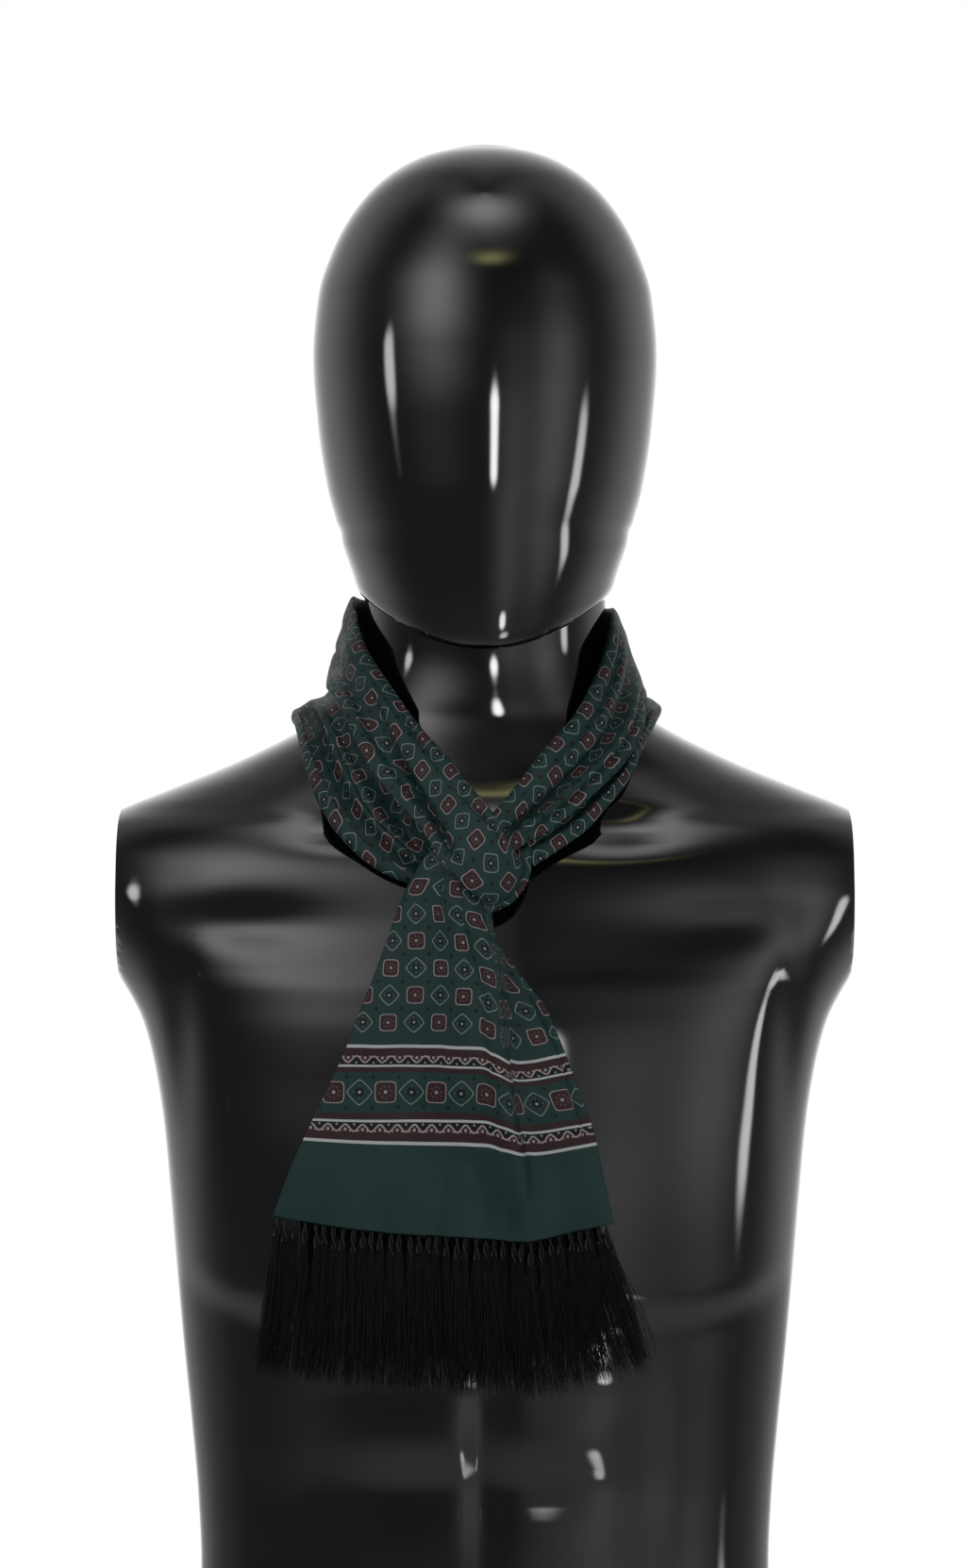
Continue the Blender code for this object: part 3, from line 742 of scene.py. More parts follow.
def roll_edge(grid, along, across, last):
    """The cloth and its lengths, with its first or last column carried on round a small roll."""
    if not last:
        grid, along, across = grid[:, ::-1], along[:, ::-1], across[:, ::-1]
    aside = grid[:, -1] - grid[:, -2]
    aside /= np.linalg.norm(aside, axis=1, keepdims=True)
    down = np.gradient(grid[:, -1], axis=0)
    down /= np.linalg.norm(down, axis=1, keepdims=True)
    back = np.cross(aside, down) if last else np.cross(down, aside)
    turn = ROLL_TURN * np.arange(1, ROLL_STEPS + 1) / ROLL_STEPS
    way = np.sign(across[0, -1] - across[0, -2])
    more = (
        grid[:, -1:]
        + aside[:, None] * (ROLL_RADIUS * np.sin(turn))[:, None]
        + back[:, None] * (ROLL_RADIUS * (1 - np.cos(turn)))[:, None]
    )
    grid = np.concatenate([grid, more], axis=1)
    along = np.concatenate([along, np.repeat(along[:, -1:], ROLL_STEPS, axis=1)], axis=1)
    across = np.concatenate([across, across[:, -1:] + way * ROLL_RADIUS * turn], axis=1)
    if not last:
        grid, along, across = grid[:, ::-1], along[:, ::-1], across[:, ::-1]
    return grid, along, across


def round_turn(grid, along, across):
    """Draws in the corners of the upper band's turn, so that its end is round."""
    corner = np.abs(2 * across - 1) ** CORNER_SHARPNESS
    fade = 1 - smooth_step(along, *TURN_FADE)
    return grid + ((TURN_BACK + TURN_ROUNDING * corner) * fade)[..., None] * TURN_WAY


def notched(grid, along, across):
    """Draws the upper band's outer edge back above the knot, where a dark gap opens under it."""
    start, full, end = NOTCH_ALONG
    share = smooth_step(along, start, full) * (1 - smooth_step(along, full, end))
    return grid + (share * smooth_step(across, *NOTCH_ACROSS))[..., None] * NOTCH


def fine_band(grid, creases, rolls, under, seed, crossed=None):
    """A band at full detail: smooth, creased, slightly uneven, and clear of what is under it.

    The upper band's start is turned, and its end lies across the crossed surface.
    """
    grid = refine(grid, FINE_BAND)
    along = np.linspace(0, 1, FINE_BAND[0])[:, None]
    across, rise = band_places(rolls, FINE_BAND[1])
    over = np.sqrt(np.maximum(rise, 0))
    height = fold_height(creases, across, along, sharp=True) * over
    height = height + soft_noise(grid, *BAND_UNEVEN, seed) * over
    grid = grid + grid_normals(grid) * height[..., None]
    if crossed is None:
        return rest_on(grid, under, FINE_ROUNDS, FINE_PASSES)
    grid = notched(round_turn(grid, along, across), along, across)
    free = slice(TUCKED_ROWS, -CROSSED_ROWS)
    grid[free] = rest_on(grid[free], under, FINE_ROUNDS, FINE_PASSES)
    grid[-CROSSED_ROWS:] = press_forward(grid[-CROSSED_ROWS:], crossed)
    return grid


def press_forward(grid, tree):
    """Brings a cloth in front of a surface, as seen from the front, with soft slopes."""
    push = np.zeros_like(grid)
    for index in np.ndindex(grid.shape[:2]):
        start = Vector((grid[index][0], FAR_FRONT, grid[index][2]))
        hit = tree.ray_cast(start, Vector((0, 1, 0)))[0]
        if hit is not None:
            push[index][1] = min(0, hit[1] - FINE_GAP - grid[index][1])
    return grid + spread_out(push, PRESS_PASSES)


def loop_roll(under):
    """The rolled edge of the loop that shows round the turn of the upper band."""
    grid = refine(band_grid(LOOP_ROLL, (), LOOP_ROLLS, thin_edge=0), LOOP_ROLL_GRID)
    return rest_on(grid, under, FINE_ROUNDS)


def fine_tail(grid, creases, shape, under, seed, folded_back=False):
    """A tail at full detail, as a band is."""
    grid = refine(grid, shape)
    along = np.linspace(0, 1, shape[0])[:, None]
    across = np.linspace(0, 1, shape[1])
    height = fold_height(creases, across, along, sharp=True)
    height = height + soft_noise(grid, *TAIL_UNEVEN, seed)
    grid = grid + grid_normals(grid) * height[..., None]
    if folded_back:
        grid = fold_right_side_back(grid)
    return rest_on(grid, under, FINE_ROUNDS, FINE_PASSES)


# ---------------------------------------------------------------- the display form


def section_reach(rays, half_width, half_depth, squareness, centre_offset):
    """How far a superellipse reaches along each ray from a point inside it."""
    low, high = np.zeros(len(rays)), np.full(len(rays), FAR_OUT)
    for _ in range(HALVINGS):
        reach = (low + high) / 2
        x = np.abs(rays[:, 0] * reach) / half_width
        y = np.abs(rays[:, 1] * reach - centre_offset) / half_depth
        inside = x**squareness + y**squareness < 1
        low, high = np.where(inside, reach, low), np.where(inside, high, reach)
    return low


def form_ring(height, sections, sides):
    """One ring of the form: the outline round every section given for this height."""
    half_width, half_depth, centre_y, _ = sections[0]
    turns = math.tau * np.arange(sides) / sides
    rays = np.stack([half_width * np.cos(turns), half_depth * np.sin(turns)], axis=1)
    rays /= np.linalg.norm(rays, axis=1, keepdims=True)
    reach = np.zeros(sides)
    for width, depth, y, square in sections:
        reach = np.maximum(reach, section_reach(rays, width, depth, square, y - centre_y))
    points = rays * reach[:, None] + (0, centre_y)
    return np.column_stack([points, np.full(sides, height)])


def head_section(half_width, front_y, back_y):
    return (half_width, (back_y - front_y) / 2, (back_y + front_y) / 2, OVAL)


def coarse_form_rings():
    """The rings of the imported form, for the cloth to lie on as it does there."""
    rings = [form_ring(height, [section], FORM_SIDES) for height, *section in TORSO_SECTIONS]
    for height, *row in HEAD_SECTIONS:
        neck = [] if height > NECK_END else [NECK_TOP]
        rings.append(form_ring(height, neck + [head_section(*row)], FORM_SIDES))
    return rings


def rings_layer(rings, top):
    """Closed rings as something to lie on."""
    sides = len(rings[0])
    points = np.concatenate(rings + [[top]])
    faces = []
    for i in range(len(rings) - 1):
        for j in range(sides):
            k = (j + 1) % sides
            faces.append((i * sides + j, i * sides + k, (i + 1) * sides + k, (i + 1) * sides + j))
    last = (len(rings) - 1) * sides
    faces += [(last + j, last + (j + 1) % sides, len(points) - 1) for j in range(sides)]
    tree = surface(points, faces)
    return (tree, tree, REST_GAP)


FINE_SIDES = 192
SHARP_ANGLE = math.radians(40)
TORSO_RINGS = 150
HEAD_RINGS = 110
THROAT = (
    # height, half_width, half_depth, centre_y, squareness: the neck's top, hidden by the head
    (586, 62, 64, 9, 2),
    (600, 61.5, 64, 8, 2),
    (615, 60.5, 62, 6, 2),
    (640, 57, 56, 6, 2),
)
JAW_SECTIONS = (
    # height at the midline, half_width, front_y, back_y
    (587, 40, -40, 40),
    (585.5, 60.5, -89, 62),
    (586, 62.5, -91, 64),
    (600, 66.4, -97, 72),
    (613, 69.2, -100, 77),
    (626, 71.3, -102, 81),
)
JAW_BOTTOM, JAW_TOP = 586.0, 650.0
JAW_RISE = (27.0, 60.0)  # how much higher the jaw's edge lies at this far from the midline


def smooth_table(rows, count):
    """The table's rows at evenly spaced lengths, on curves that never overshoot them."""
    rows = np.array(rows, float)
    gaps = np.linalg.norm(np.diff(rows[:, :2], axis=0), axis=1)
    knots = np.concatenate([[0], np.cumsum(gaps)])
    slopes = np.diff(rows, axis=0) / gaps[:, None]
    before, after = slopes[:-1], slopes[1:]
    same_way = before * after > 0
    total = np.where(same_way, before + after, 1)
    middle = np.where(same_way, 2 * before * after / total, 0)
    slope = np.concatenate([slopes[:1], middle, slopes[-1:]])
    targets = np.linspace(0, knots[-1], count)
    cell = np.clip(np.searchsorted(knots, targets, side="right") - 1, 0, len(gaps) - 1)
    gap = gaps[cell][:, None]
    t = (targets - knots[cell])[:, None] / gap
    return (
        rows[cell] * (1 + 2 * t) * (1 - t) ** 2
        + rows[cell + 1] * t * t * (3 - 2 * t)
        + gap * t * (1 - t) * (slope[cell] * (1 - t) - slope[cell + 1] * t)
    )


def loft(shape, rings, top=None):
    """Faces round a stack of rings, closed at the bottom and at the top."""
    loops = [[shape.verts.new(point * MM) for point in ring] for ring in rings]
    sides = len(loops[0])
    for lower, upper in zip(loops, loops[1:]):
        for i in range(sides):
            j = (i + 1) % sides
            shape.faces.new((lower[i], lower[j], upper[j], upper[i]))
    shape.faces.new(list(reversed(loops[0])))
    if top is None:
        shape.faces.new(loops[-1])
        return
    crown = shape.verts.new(Vector(top) * MM)
    for i in range(sides):
        shape.faces.new((loops[-1][i], loops[-1][(i + 1) % sides], crown))


PECTORAL_EDGE = (271, 28, 80)  # height at its lowest, rise, and half width over which it rises
PECTORAL_MIDDLE = 88.0  # how far its lowest point lies from the midline
UNDER_PECTORAL = (7.0, 20)  # how far the belly lies back, and the height over which it does
DIPS = (
    # x, z, half width, half height, depth: soft hollows of the front, on both sides alike
    (0, 380, 12, 90, 3.5),
    (0, 200, 9, 60, 4.0),
    (80, 446, 60, 26, 5.0),
    (66, 498, 30, 9, 6.0),
    (118, 452, 34, 12, 5.0),
    (150, 390, 9, 50, 4.0),
    (34, 226, 40, 14, 2.5),
    (32, 176, 36, 14, 2.5),
    (78, 190, 14, 60, 2.5),
)
FRONT_SHARE = (0.1, 0.6)  # of the half depth, over which the front's relief comes in


def muscled(ring, centre_y):
    """A ring of the torso with its front set back into a plain chest and belly."""
    x, y, z = ring.T
    aside = np.abs(x)
    low, rise, half = PECTORAL_EDGE
    edge = low + rise * ((aside - PECTORAL_MIDDLE) / half) ** 2
    depth = UNDER_PECTORAL[0] * (1 - smooth_step(z, edge - UNDER_PECTORAL[1], edge))
    for place, height, half_width, half_height, size in DIPS:
        reach = ((aside - place) / half_width) ** 2 + ((z - height) / half_height) ** 2
        depth = depth + size * np.exp(-reach)
    front = smooth_step((centre_y - y) / np.ptp(y) * 2, *FRONT_SHARE)
    return np.column_stack([x, y + depth * front, z])


def jawed(ring):
    """A low ring of the head with its sides raised, so that the chin ends in a curved edge."""
    x, y, z = ring.T
    rise, half = JAW_RISE
    share = np.clip((JAW_TOP - z) / (JAW_TOP - JAW_BOTTOM), 0, None)
    return np.column_stack([x, y, z + share * rise * (x / half) ** 2])


def add_object(name, data, place):
    thing = bpy.data.objects.new(name, data)
    bpy.context.scene.collection.objects.link(thing)
    thing.location = place
    return thing


def make_form(shift):
    """The display form: torso and neck in one loft, cut flat at the shoulders, and the head."""
    shape = bmesh.new()
    torso = smooth_table(TORSO_SECTIONS[:-1] + THROAT, TORSO_RINGS)
    loft(shape, [muscled(form_ring(row[0], [row[1:]], FINE_SIDES), row[3]) for row in torso])
    for side in (-1, 1):
        cut = bmesh.ops.bisect_plane(
            shape,
            geom=shape.verts[:] + shape.edges[:] + shape.faces[:],
            plane_co=(side * SHOULDER_CUT * MM, 0, 0),
            plane_no=(side, 0, 0),
            clear_outer=True,
        )
        rim = [item for item in cut["geom_cut"] if isinstance(item, bmesh.types.BMEdge)]
        bmesh.ops.contextual_create(shape, geom=rim)
    upper = tuple(row for row in HEAD_SECTIONS if row[0] > JAW_SECTIONS[-1][0])
    head = smooth_table(JAW_SECTIONS + upper, HEAD_RINGS)
    rings = [jawed(form_ring(row[0], [head_section(*row[1:])], FINE_SIDES)) for row in head]
    loft(shape, rings, HEAD_TOP)
    bmesh.ops.recalc_face_normals(shape, faces=shape.faces)
    mesh = bpy.data.meshes.new("form_shell")
    shape.to_mesh(mesh)
    shape.free()
    mesh.shade_smooth()
    mesh.set_sharp_from_angle(angle=SHARP_ANGLE)
    return add_object("form_shell", mesh, shift)


# ---------------------------------------------------------------- cloth and threads

CLOTH_MAP = "cloth_mm"


def cloth_object(name, grid, along, across, shift):
    """A thin cloth through the grid; its map holds the lengths along and across, in millimetres."""
    mesh = bpy.data.meshes.new(name)
    mesh.from_pydata((grid.reshape(-1, 3) * MM).tolist(), [], faces_of(grid))
    corners = np.zeros(len(mesh.loops), int)
    mesh.loops.foreach_get("vertex_index", corners)
    places = np.stack([across.ravel(), along.ravel()], axis=1)[corners]
    layer = mesh.uv_layers.new(name=CLOTH_MAP)
    layer.data.foreach_set("uv", places.ravel())
    mesh.shade_smooth()
    thing = add_object(name, mesh, shift)
    wall = thing.modifiers.new("doubled silk", "SOLIDIFY")
    wall.thickness = SILK * MM
    wall.offset = 0.0
    return thing


def tubes(lines, radii, sides):
    """Points and faces of upright tubes: lines is tubes x points x 3, radii is tubes x points."""
    count, points = lines.shape[:2]
    turns = math.tau * np.arange(sides) / sides
    ring = np.stack([np.cos(turns), np.sin(turns), np.zeros(sides)], axis=1)
    corners = lines[:, :, None] + radii[:, :, None, None] * ring
    faces = []
    for tube in range(count):
        for i in range(points - 1):
            start = (tube * points + i) * sides
            for j in range(sides):
                k = (j + 1) % sides
                faces.append((start + j, start + k, start + sides + k, start + sides + j))
    return corners.reshape(-1, 3), faces


ROOT_BELOW = 0.5  # from the hem to where a root starts
ROOT_UNEVEN = 0.12  # how far from its even place a root stands at most, in shares of their pitch
ROOT_DROP = 9.5  # length of a twisted root
ROOT_DROPS = (0.8, 1.15)  # shortest and longest, as shares of that
ROOT_LEAN = (0.06, 0.05)  # shares of the spread to the side and back that a root leans over
ROOT_SWAY = (0.45, 0.3)  # how much that varies
ROOT_TURNS = 0.6
STRAND_OFFSET = 0.8  # of a root's two strands from its axis
STRAND_RADIUS = 1.05
STRAND_START = 0.6  # share of both at the top
STRAND_GROWTH = (0.6, 0.5)  # how much the offset and the radius grow downwards
ROOT_SIDES, ROOT_POINTS = 6, 14

EDGE_POWERS = (2, 3)  # how fast the spread falls off from the left and the right edge
BUNCH_SWAY = (1.2, 0.6)  # of a root's whole bunch, aside and back
START_SWAY = (0.9, 0.5)  # of a thread's start
START_BACK = 0.7  # of all starts, behind the root's middle
START_RISE = 6.0  # how far up its root a thread may start
LENGTHS = (0.93, 1.05)  # shortest and longest, as shares of the drop
RIGHT_SHORTENING = (7.0, 6)  # at the right edge, and how fast it falls off from there
SHORT_CHANCE = 0.12  # share of the threads that are shorter
SHORT_LENGTHS = (0.8, 0.98)
END_SWAY = (2.5, 1.5)  # of its end
BOW_SWAY = (1.0, 0.6)  # of a thread's middle
RIGHT_BOW = (2.5, 8)  # how much more that is at the right edge, and how fast it falls off
RIPPLE = (0.35, 7)  # height, and turn from start to end
OUTWARD_CURVE = 1.35  # power by which the threads turn aside only as they fall
TIP_THINNING = (0.6, 4)  # share by which a thread is thinner at its tip, and how late that comes
THREAD_RADIUS = 0.2
THREAD_SIDES, THREAD_POINTS = 3, 9


def hem_point(hem, share):
    """A point on the hem line, at a share of its width."""
    place = np.clip(share, 0, 1) * (len(hem) - 1)
    i = min(int(place), len(hem) - 2)
    return hem[i] + (hem[i + 1] - hem[i]) * (place - i)


def twisted_root(draw, start, side, back, bulk):
    """The end and length of a root, and the lines and radii of its two strands."""
    lean_aside = ROOT_LEAN[0] * side + draw.normal(0, ROOT_SWAY[0])
    lean_back = ROOT_LEAN[1] * back + draw.normal(0, ROOT_SWAY[1])
    drop = ROOT_DROP * draw.uniform(*ROOT_DROPS)
    phase = draw.uniform(0, math.tau)
    fall = np.linspace(0, 1, ROOT_POINTS)
    axis = start + fall[:, None] * (lean_aside, lean_back, -drop)
    offset = bulk * STRAND_OFFSET * (STRAND_START + STRAND_GROWTH[0] * fall)
    radius = bulk * STRAND_RADIUS * (STRAND_START + STRAND_GROWTH[1] * fall)
    strands = []
    for half in (0, math.pi):
        angle = phase + half + ROOT_TURNS * math.tau * fall
        around = np.stack([np.cos(angle) * offset, np.sin(angle) * offset, 0 * angle], axis=1)
        strands.append(axis + around)
    return axis[-1], drop, strands, [radius, radius]


def loose_thread(draw, knot, length, share, ends):
    """The line and radii of one thread that hangs from the end of a root."""
    aside = draw.normal(0, START_SWAY[0])
    back = START_BACK + draw.normal(0, START_SWAY[1])
    begin = knot + (aside, back, draw.uniform(0, START_RISE))
    length = length * draw.uniform(*LENGTHS) - RIGHT_SHORTENING[0] * share ** RIGHT_SHORTENING[1]
    if draw.random() < SHORT_CHANCE:
        length *= draw.uniform(*SHORT_LENGTHS)
    across = ends[0] + draw.normal(0, END_SWAY[0])
    depth = ends[1] + draw.normal(0, END_SWAY[1])
    bow_aside = draw.normal(0, BOW_SWAY[0] + RIGHT_BOW[0] * share ** RIGHT_BOW[1])
    bow_back = draw.normal(0, BOW_SWAY[1])
    waves = draw.uniform(0, math.tau)
    fall = np.linspace(0, 1, THREAD_POINTS)
    bow = np.sin(math.pi * fall)
    ripple = RIPPLE[0] * np.sin(waves + RIPPLE[1] * fall) * fall
    x = across * fall**OUTWARD_CURVE + bow_aside * bow + ripple
    y = depth * fall + bow_back * bow
    line = begin + np.stack([x, y, -length * fall], axis=1)
    return line, THREAD_RADIUS * (1 - TIP_THINNING[0] * fall ** TIP_THINNING[1])


def make_threads(name, hem, roots, threads, drop, bulk, spread, seed, shift):
    """A fringe: along the hem a row of twisted roots, each ending in a bunch of fine threads."""
    draw = np.random.default_rng(seed)
    strands, strand_radii, lines, radii = [], [], [], []
    for number in range(roots):
        share = (number + 0.5 + draw.uniform(-ROOT_UNEVEN, ROOT_UNEVEN)) / roots
        start = hem_point(hem, share) - (0, 0, ROOT_BELOW)
        side = spread[0] * (1 - share) ** EDGE_POWERS[0] + spread[1] * share ** EDGE_POWERS[1]
        knot, root_drop, pair, pair_radii = twisted_root(draw, start, side, spread[2], bulk)
        strands += pair
        strand_radii += pair_radii
        bunch = draw.normal(0, BUNCH_SWAY[0]), draw.normal(0, BUNCH_SWAY[1])
        ends = side + bunch[0], spread[2] + bunch[1]
        for _ in range(threads):
            line, radius = loose_thread(draw, knot, drop - root_drop, share, ends)
            lines.append(line)
            radii.append(radius)
    points, faces = tubes(np.array(strands), np.array(strand_radii), ROOT_SIDES)
    more, others = tubes(np.array(lines), np.array(radii), THREAD_SIDES)
    faces += [tuple(corner + len(points) for corner in face) for face in others]
    mesh = bpy.data.meshes.new(name)
    mesh.from_pydata((np.concatenate([points, more]) * MM).tolist(), [], faces)
    mesh.shade_smooth()
    return add_object(name, mesh, shift)


# ---------------------------------------------------------------- materials


class Tree:
    """Short names for making the nodes of one material or world."""

    def __init__(self, owner):
        owner.use_nodes = True
        self.owner = owner
        self.nodes = owner.node_tree.nodes
        self.links = owner.node_tree.links

    def put(self, socket, value):
        if isinstance(value, bpy.types.NodeSocket):
            self.links.new(value, socket)
        else:
            socket.default_value = value

    def node(self, kind, inputs, **settings):
        """A new node with its settings and its inputs, which are pairs of socket and value."""
        node = self.nodes.new(kind)
        for name, value in settings.items():
            setattr(node, name, value)
        for socket, value in inputs:
            self.put(node.inputs[socket], value)
        return node

    def shaded(self, values):
        """The material, with these values on its shader's sockets."""
        for socket, value in values.items():
            self.put(self.nodes["Principled BSDF"].inputs[socket], value)
        return self.owner

    def place(self):
        """Places on the object, in its own metres."""
        return self.nodes.new("ShaderNodeTexCoord").outputs["Object"]

    def math(self, operation, *values):
        return self.node("ShaderNodeMath", enumerate(values), operation=operation).outputs[0]

    def scaled(self, value, by, plus):
        return self.math("MULTIPLY_ADD", value, by, plus)

    def vector(self, operation, *values):
        return self.node("ShaderNodeVectorMath", enumerate(values), operation=operation)

    def mix(self, share, first, second):
        inputs = (("Factor", share), (6, first), (7, second))  # 6 and 7 are its two colours
        return self.node("ShaderNodeMix", inputs, data_type="RGBA").outputs[2]

    def noise(self, vector, scale, detail=2.0):
        inputs = (("Vector", vector), ("Scale", scale), ("Detail", detail))
        return self.node("ShaderNodeTexNoise", inputs).outputs["Fac"]

    def bump(self, height, strength, distance):
        inputs = (("Strength", strength), ("Distance", distance), ("Height", height))
        return self.node("ShaderNodeBump", inputs).outputs["Normal"]

    def both(self, *masks):
        result = masks[0]
        for mask in masks[1:]:
            result = self.math("MULTIPLY", result, mask)
        return result

    def either(self, *masks):
        result = masks[0]
        for mask in masks[1:]:
            result = self.math("MAXIMUM", result, mask)
        return result

    def between(self, value, low, high):
        above = self.math("GREATER_THAN", value, low)
        return self.both(above, self.math("LESS_THAN", value, high))

    def centred(self, value, pitch, offset=0.0):
        """Distance from the middle of the cell that a value lies in, and the cell's number."""
        cells = self.math("ADD", self.math("DIVIDE", value, pitch), offset)
        number = self.math("FLOOR", cells)
        part = self.math("SUBTRACT", self.math("SUBTRACT", cells, number), 0.5)
        return self.math("MULTIPLY", part, pitch), number

    def round_distance(self, x, y, power):
        """2 for a circle, near 1 for a diamond, over 2 for a rounded square."""
        total = self.math(
            "ADD",
            self.math("POWER", self.math("ABSOLUTE", x), power),
            self.math("POWER", self.math("ABSOLUTE", y), power),
        )
        return self.math("POWER", total, 1 / power)

    def circle(self, x, y, radius, height=0.0):
        """A disc at this height above the middle."""
        away = self.round_distance(x, self.math("SUBTRACT", y, height), 2)
        return self.math("LESS_THAN", away, radius)


def srgb(red, green, blue):
    """A colour given in screen values from 0 to 255, as linear RGBA."""
    linear = []
    for value in (red, green, blue):
        share = value / 255
        linear.append(share / 12.92 if share <= 0.04045 else ((share + 0.055) / 1.055) ** 2.4)
    return (*linear, 1.0)


def toned(colour, share):
    """A colour made darker or lighter by a share."""
    return (*(share * part for part in colour[:3]), 1.0)


WHITE = (1.0, 1.0, 1.0, 1.0)
GROUND = srgb(32, 55, 55)
MAROON = srgb(52, 36, 39)
MAROON_SPECK = srgb(88, 74, 72)
PALE = srgb(178, 180, 182)
SQUARE_LINE = srgb(158, 144, 144)
DIAMOND_LINE = srgb(130, 142, 140)
PETAL = srgb(17, 27, 31)
MARK = srgb(78, 84, 84)
DOT = srgb(150, 146, 144)
CLOUD_TONES = (0.88, 1.16)  # darkest and lightest of the ground's soft unevenness
RIB_TONES = (0.72, 1.28)  # of the twill
DUST_FROM = 0.79  # height of the noise from which it is a grain of dust on the lacquer


def square_marks(t, x, y, size):
    """Masks and colours of a rounded maroon square: its fill, specks, line and middle dot."""
    away = t.round_distance(x, y, SQUARE_ROUNDING)
    fill = t.math("LESS_THAN", away, size - MOTIF_LINE)
    line = t.between(away, size - MOTIF_LINE, size)
    round_away = t.round_distance(x, y, 2)
    turn = t.math("SINE", t.math("MULTIPLY", t.math("ARCTAN2", y, x), SPECKS))
    ring = t.between(round_away, *(size * share for share in SPECK_RING))
    specks = t.both(ring, t.math("GREATER_THAN", turn, SPECK_FROM))
    dot = t.math("LESS_THAN", round_away, size * SQUARE_DOT)
    return (fill, MAROON), (specks, MAROON_SPECK), (line, SQUARE_LINE), (dot, DOT)


def diamond_marks(t, x, y, size):
    """Masks and colours of a rounded diamond: its dark petals, marks, line and middle dot."""
    petals = t.math("LESS_THAN", t.round_distance(x, y, PETAL_ROUNDING), size * PETAL_REACH)
    away = t.round_distance(x, y, DIAMOND_ROUNDING)
    line = t.between(away, size - DIAMOND_LINE_SHARE * MOTIF_LINE, size)
    round_away = t.round_distance(x, y, 2)
    aside = t.math("MINIMUM", t.math("ABSOLUTE", x), t.math("ABSOLUTE", y))
    ring = t.between(round_away, *(size * share for share in MARK_RING))
    marks = t.both(ring, t.math("LESS_THAN", aside, MARK_HALF_WIDTH))
    dot = t.math("LESS_THAN", round_away, size * DIAMOND_DOT)
    return (petals, PETAL), (marks, MARK), (line, DIAMOND_LINE), (dot, DOT)


def paint_motifs(t, colour, x, y, number, sizes):
    """Squares in the cells with odd numbers, diamonds in those with even ones."""
    odd = t.math("ABSOLUTE", t.math("MODULO", number, 2))
    even = t.math("SUBTRACT", 1, odd)
    square, diamond = sizes
    for cells, marks in (
        (odd, square_marks(t, x, y, square)),
        (even, diamond_marks(t, x, y, diamond)),
    ):
        for mask, paint in marks:
            colour = t.mix(t.both(cells, mask), colour, paint)
    return colour


def small_motifs(t, colour, x_all, y_all):
    """The even field of small squares and diamonds, with a dark dot between each four."""
    height = t.math("SUBTRACT", y_all, FIRST_ROW)
    x, column = t.centred(x_all, PITCH_ACROSS)
    y, row = t.centred(height, PITCH_ALONG, 0.5)
    colour = paint_motifs(t, colour, x, y, t.math("ADD", column, row), SMALL_SIZES)
    x, _ = t.centred(x_all, PITCH_ACROSS, 0.5)
    y, _ = t.centred(height, PITCH_ALONG)
    return t.mix(t.circle(x, y, SMALL_DOT), colour, PETAL)


def large_motifs(t, colour, x_all, y_all):
    """One row of large squares and diamonds, with small dots above and below between them."""
    x, column = t.centred(x_all, LARGE_PITCH)
    y = t.math("SUBTRACT", y_all, LARGE_ROW)
    colour = paint_motifs(t, colour, x, y, column, LARGE_SIZES)
    x, _ = t.centred(x_all, LARGE_PITCH, 0.5)
    height, radius = LARGE_DOTS
    dots = t.either(t.circle(x, y, radius, height), t.circle(x, y, radius, -height))
    return t.mix(dots, colour, PETAL)


def scroll_band(t, colour, x_all, y_all, low, high, upwards):
    """A maroon band with a pale line that waves along its inner side, and dots in the bays."""
    inside = t.between(y_all, low, high)
    colour = t.mix(inside, colour, MAROON)
    y = t.math("SUBTRACT", y_all, low) if upwards else t.math("SUBTRACT", high, y_all)
    turn = t.math("MULTIPLY", x_all, math.tau / SCROLL_PITCH)
    wave = t.scaled(t.math("COSINE", turn), by=-SCROLL_SWING, plus=SCROLL_MIDDLE)
    above = t.math("SUBTRACT", y, wave)
    colour = t.mix(t.both(inside, t.math("LESS_THAN", above, 0)), colour, PETAL)
    slope = t.math("ABSOLUTE", t.math("SINE", turn))
    reach = t.scaled(slope, by=SLOPE_SHARE * SCROLL_LINE, plus=SCROLL_LINE)
    marks = t.math("LESS_THAN", t.math("ABSOLUTE", above), reach)
    for offset, height, radius in SCROLL_DOTS:
        x, _ = t.centred(x_all, SCROLL_PITCH, 0.5 - offset)
        marks = t.either(marks, t.circle(x, y, radius, height))
    return t.mix(t.both(inside, marks), colour, SQUARE_LINE)


def bordered(t, field, ground, x_all, y_all):
    """The field's colour with the border above the hem painted over it."""
    in_border = t.math("LESS_THAN", y_all, FIRST_ROW - PLAIN_BELOW_ROW)
    colour = t.mix(in_border, field, ground)
    zone = t.between(y_all, PLAIN_BANDS[1][1], PLAIN_BANDS[0][0])
    colour = t.mix(zone, colour, large_motifs(t, ground, x_all, y_all))
    colour = scroll_band(t, colour, x_all, y_all, *UPPER_SCROLLS, upwards=True)
    colour = scroll_band(t, colour, x_all, y_all, *LOWER_SCROLLS, upwards=False)
    for low, high in PLAIN_BANDS:
        colour = t.mix(t.between(y_all, low, high), colour, MAROON)
    for height, thickness in BORDER_LINES:
        line = t.between(y_all, height - thickness / 2, height + thickness / 2)
        colour = t.mix(line, colour, PALE)
    return colour


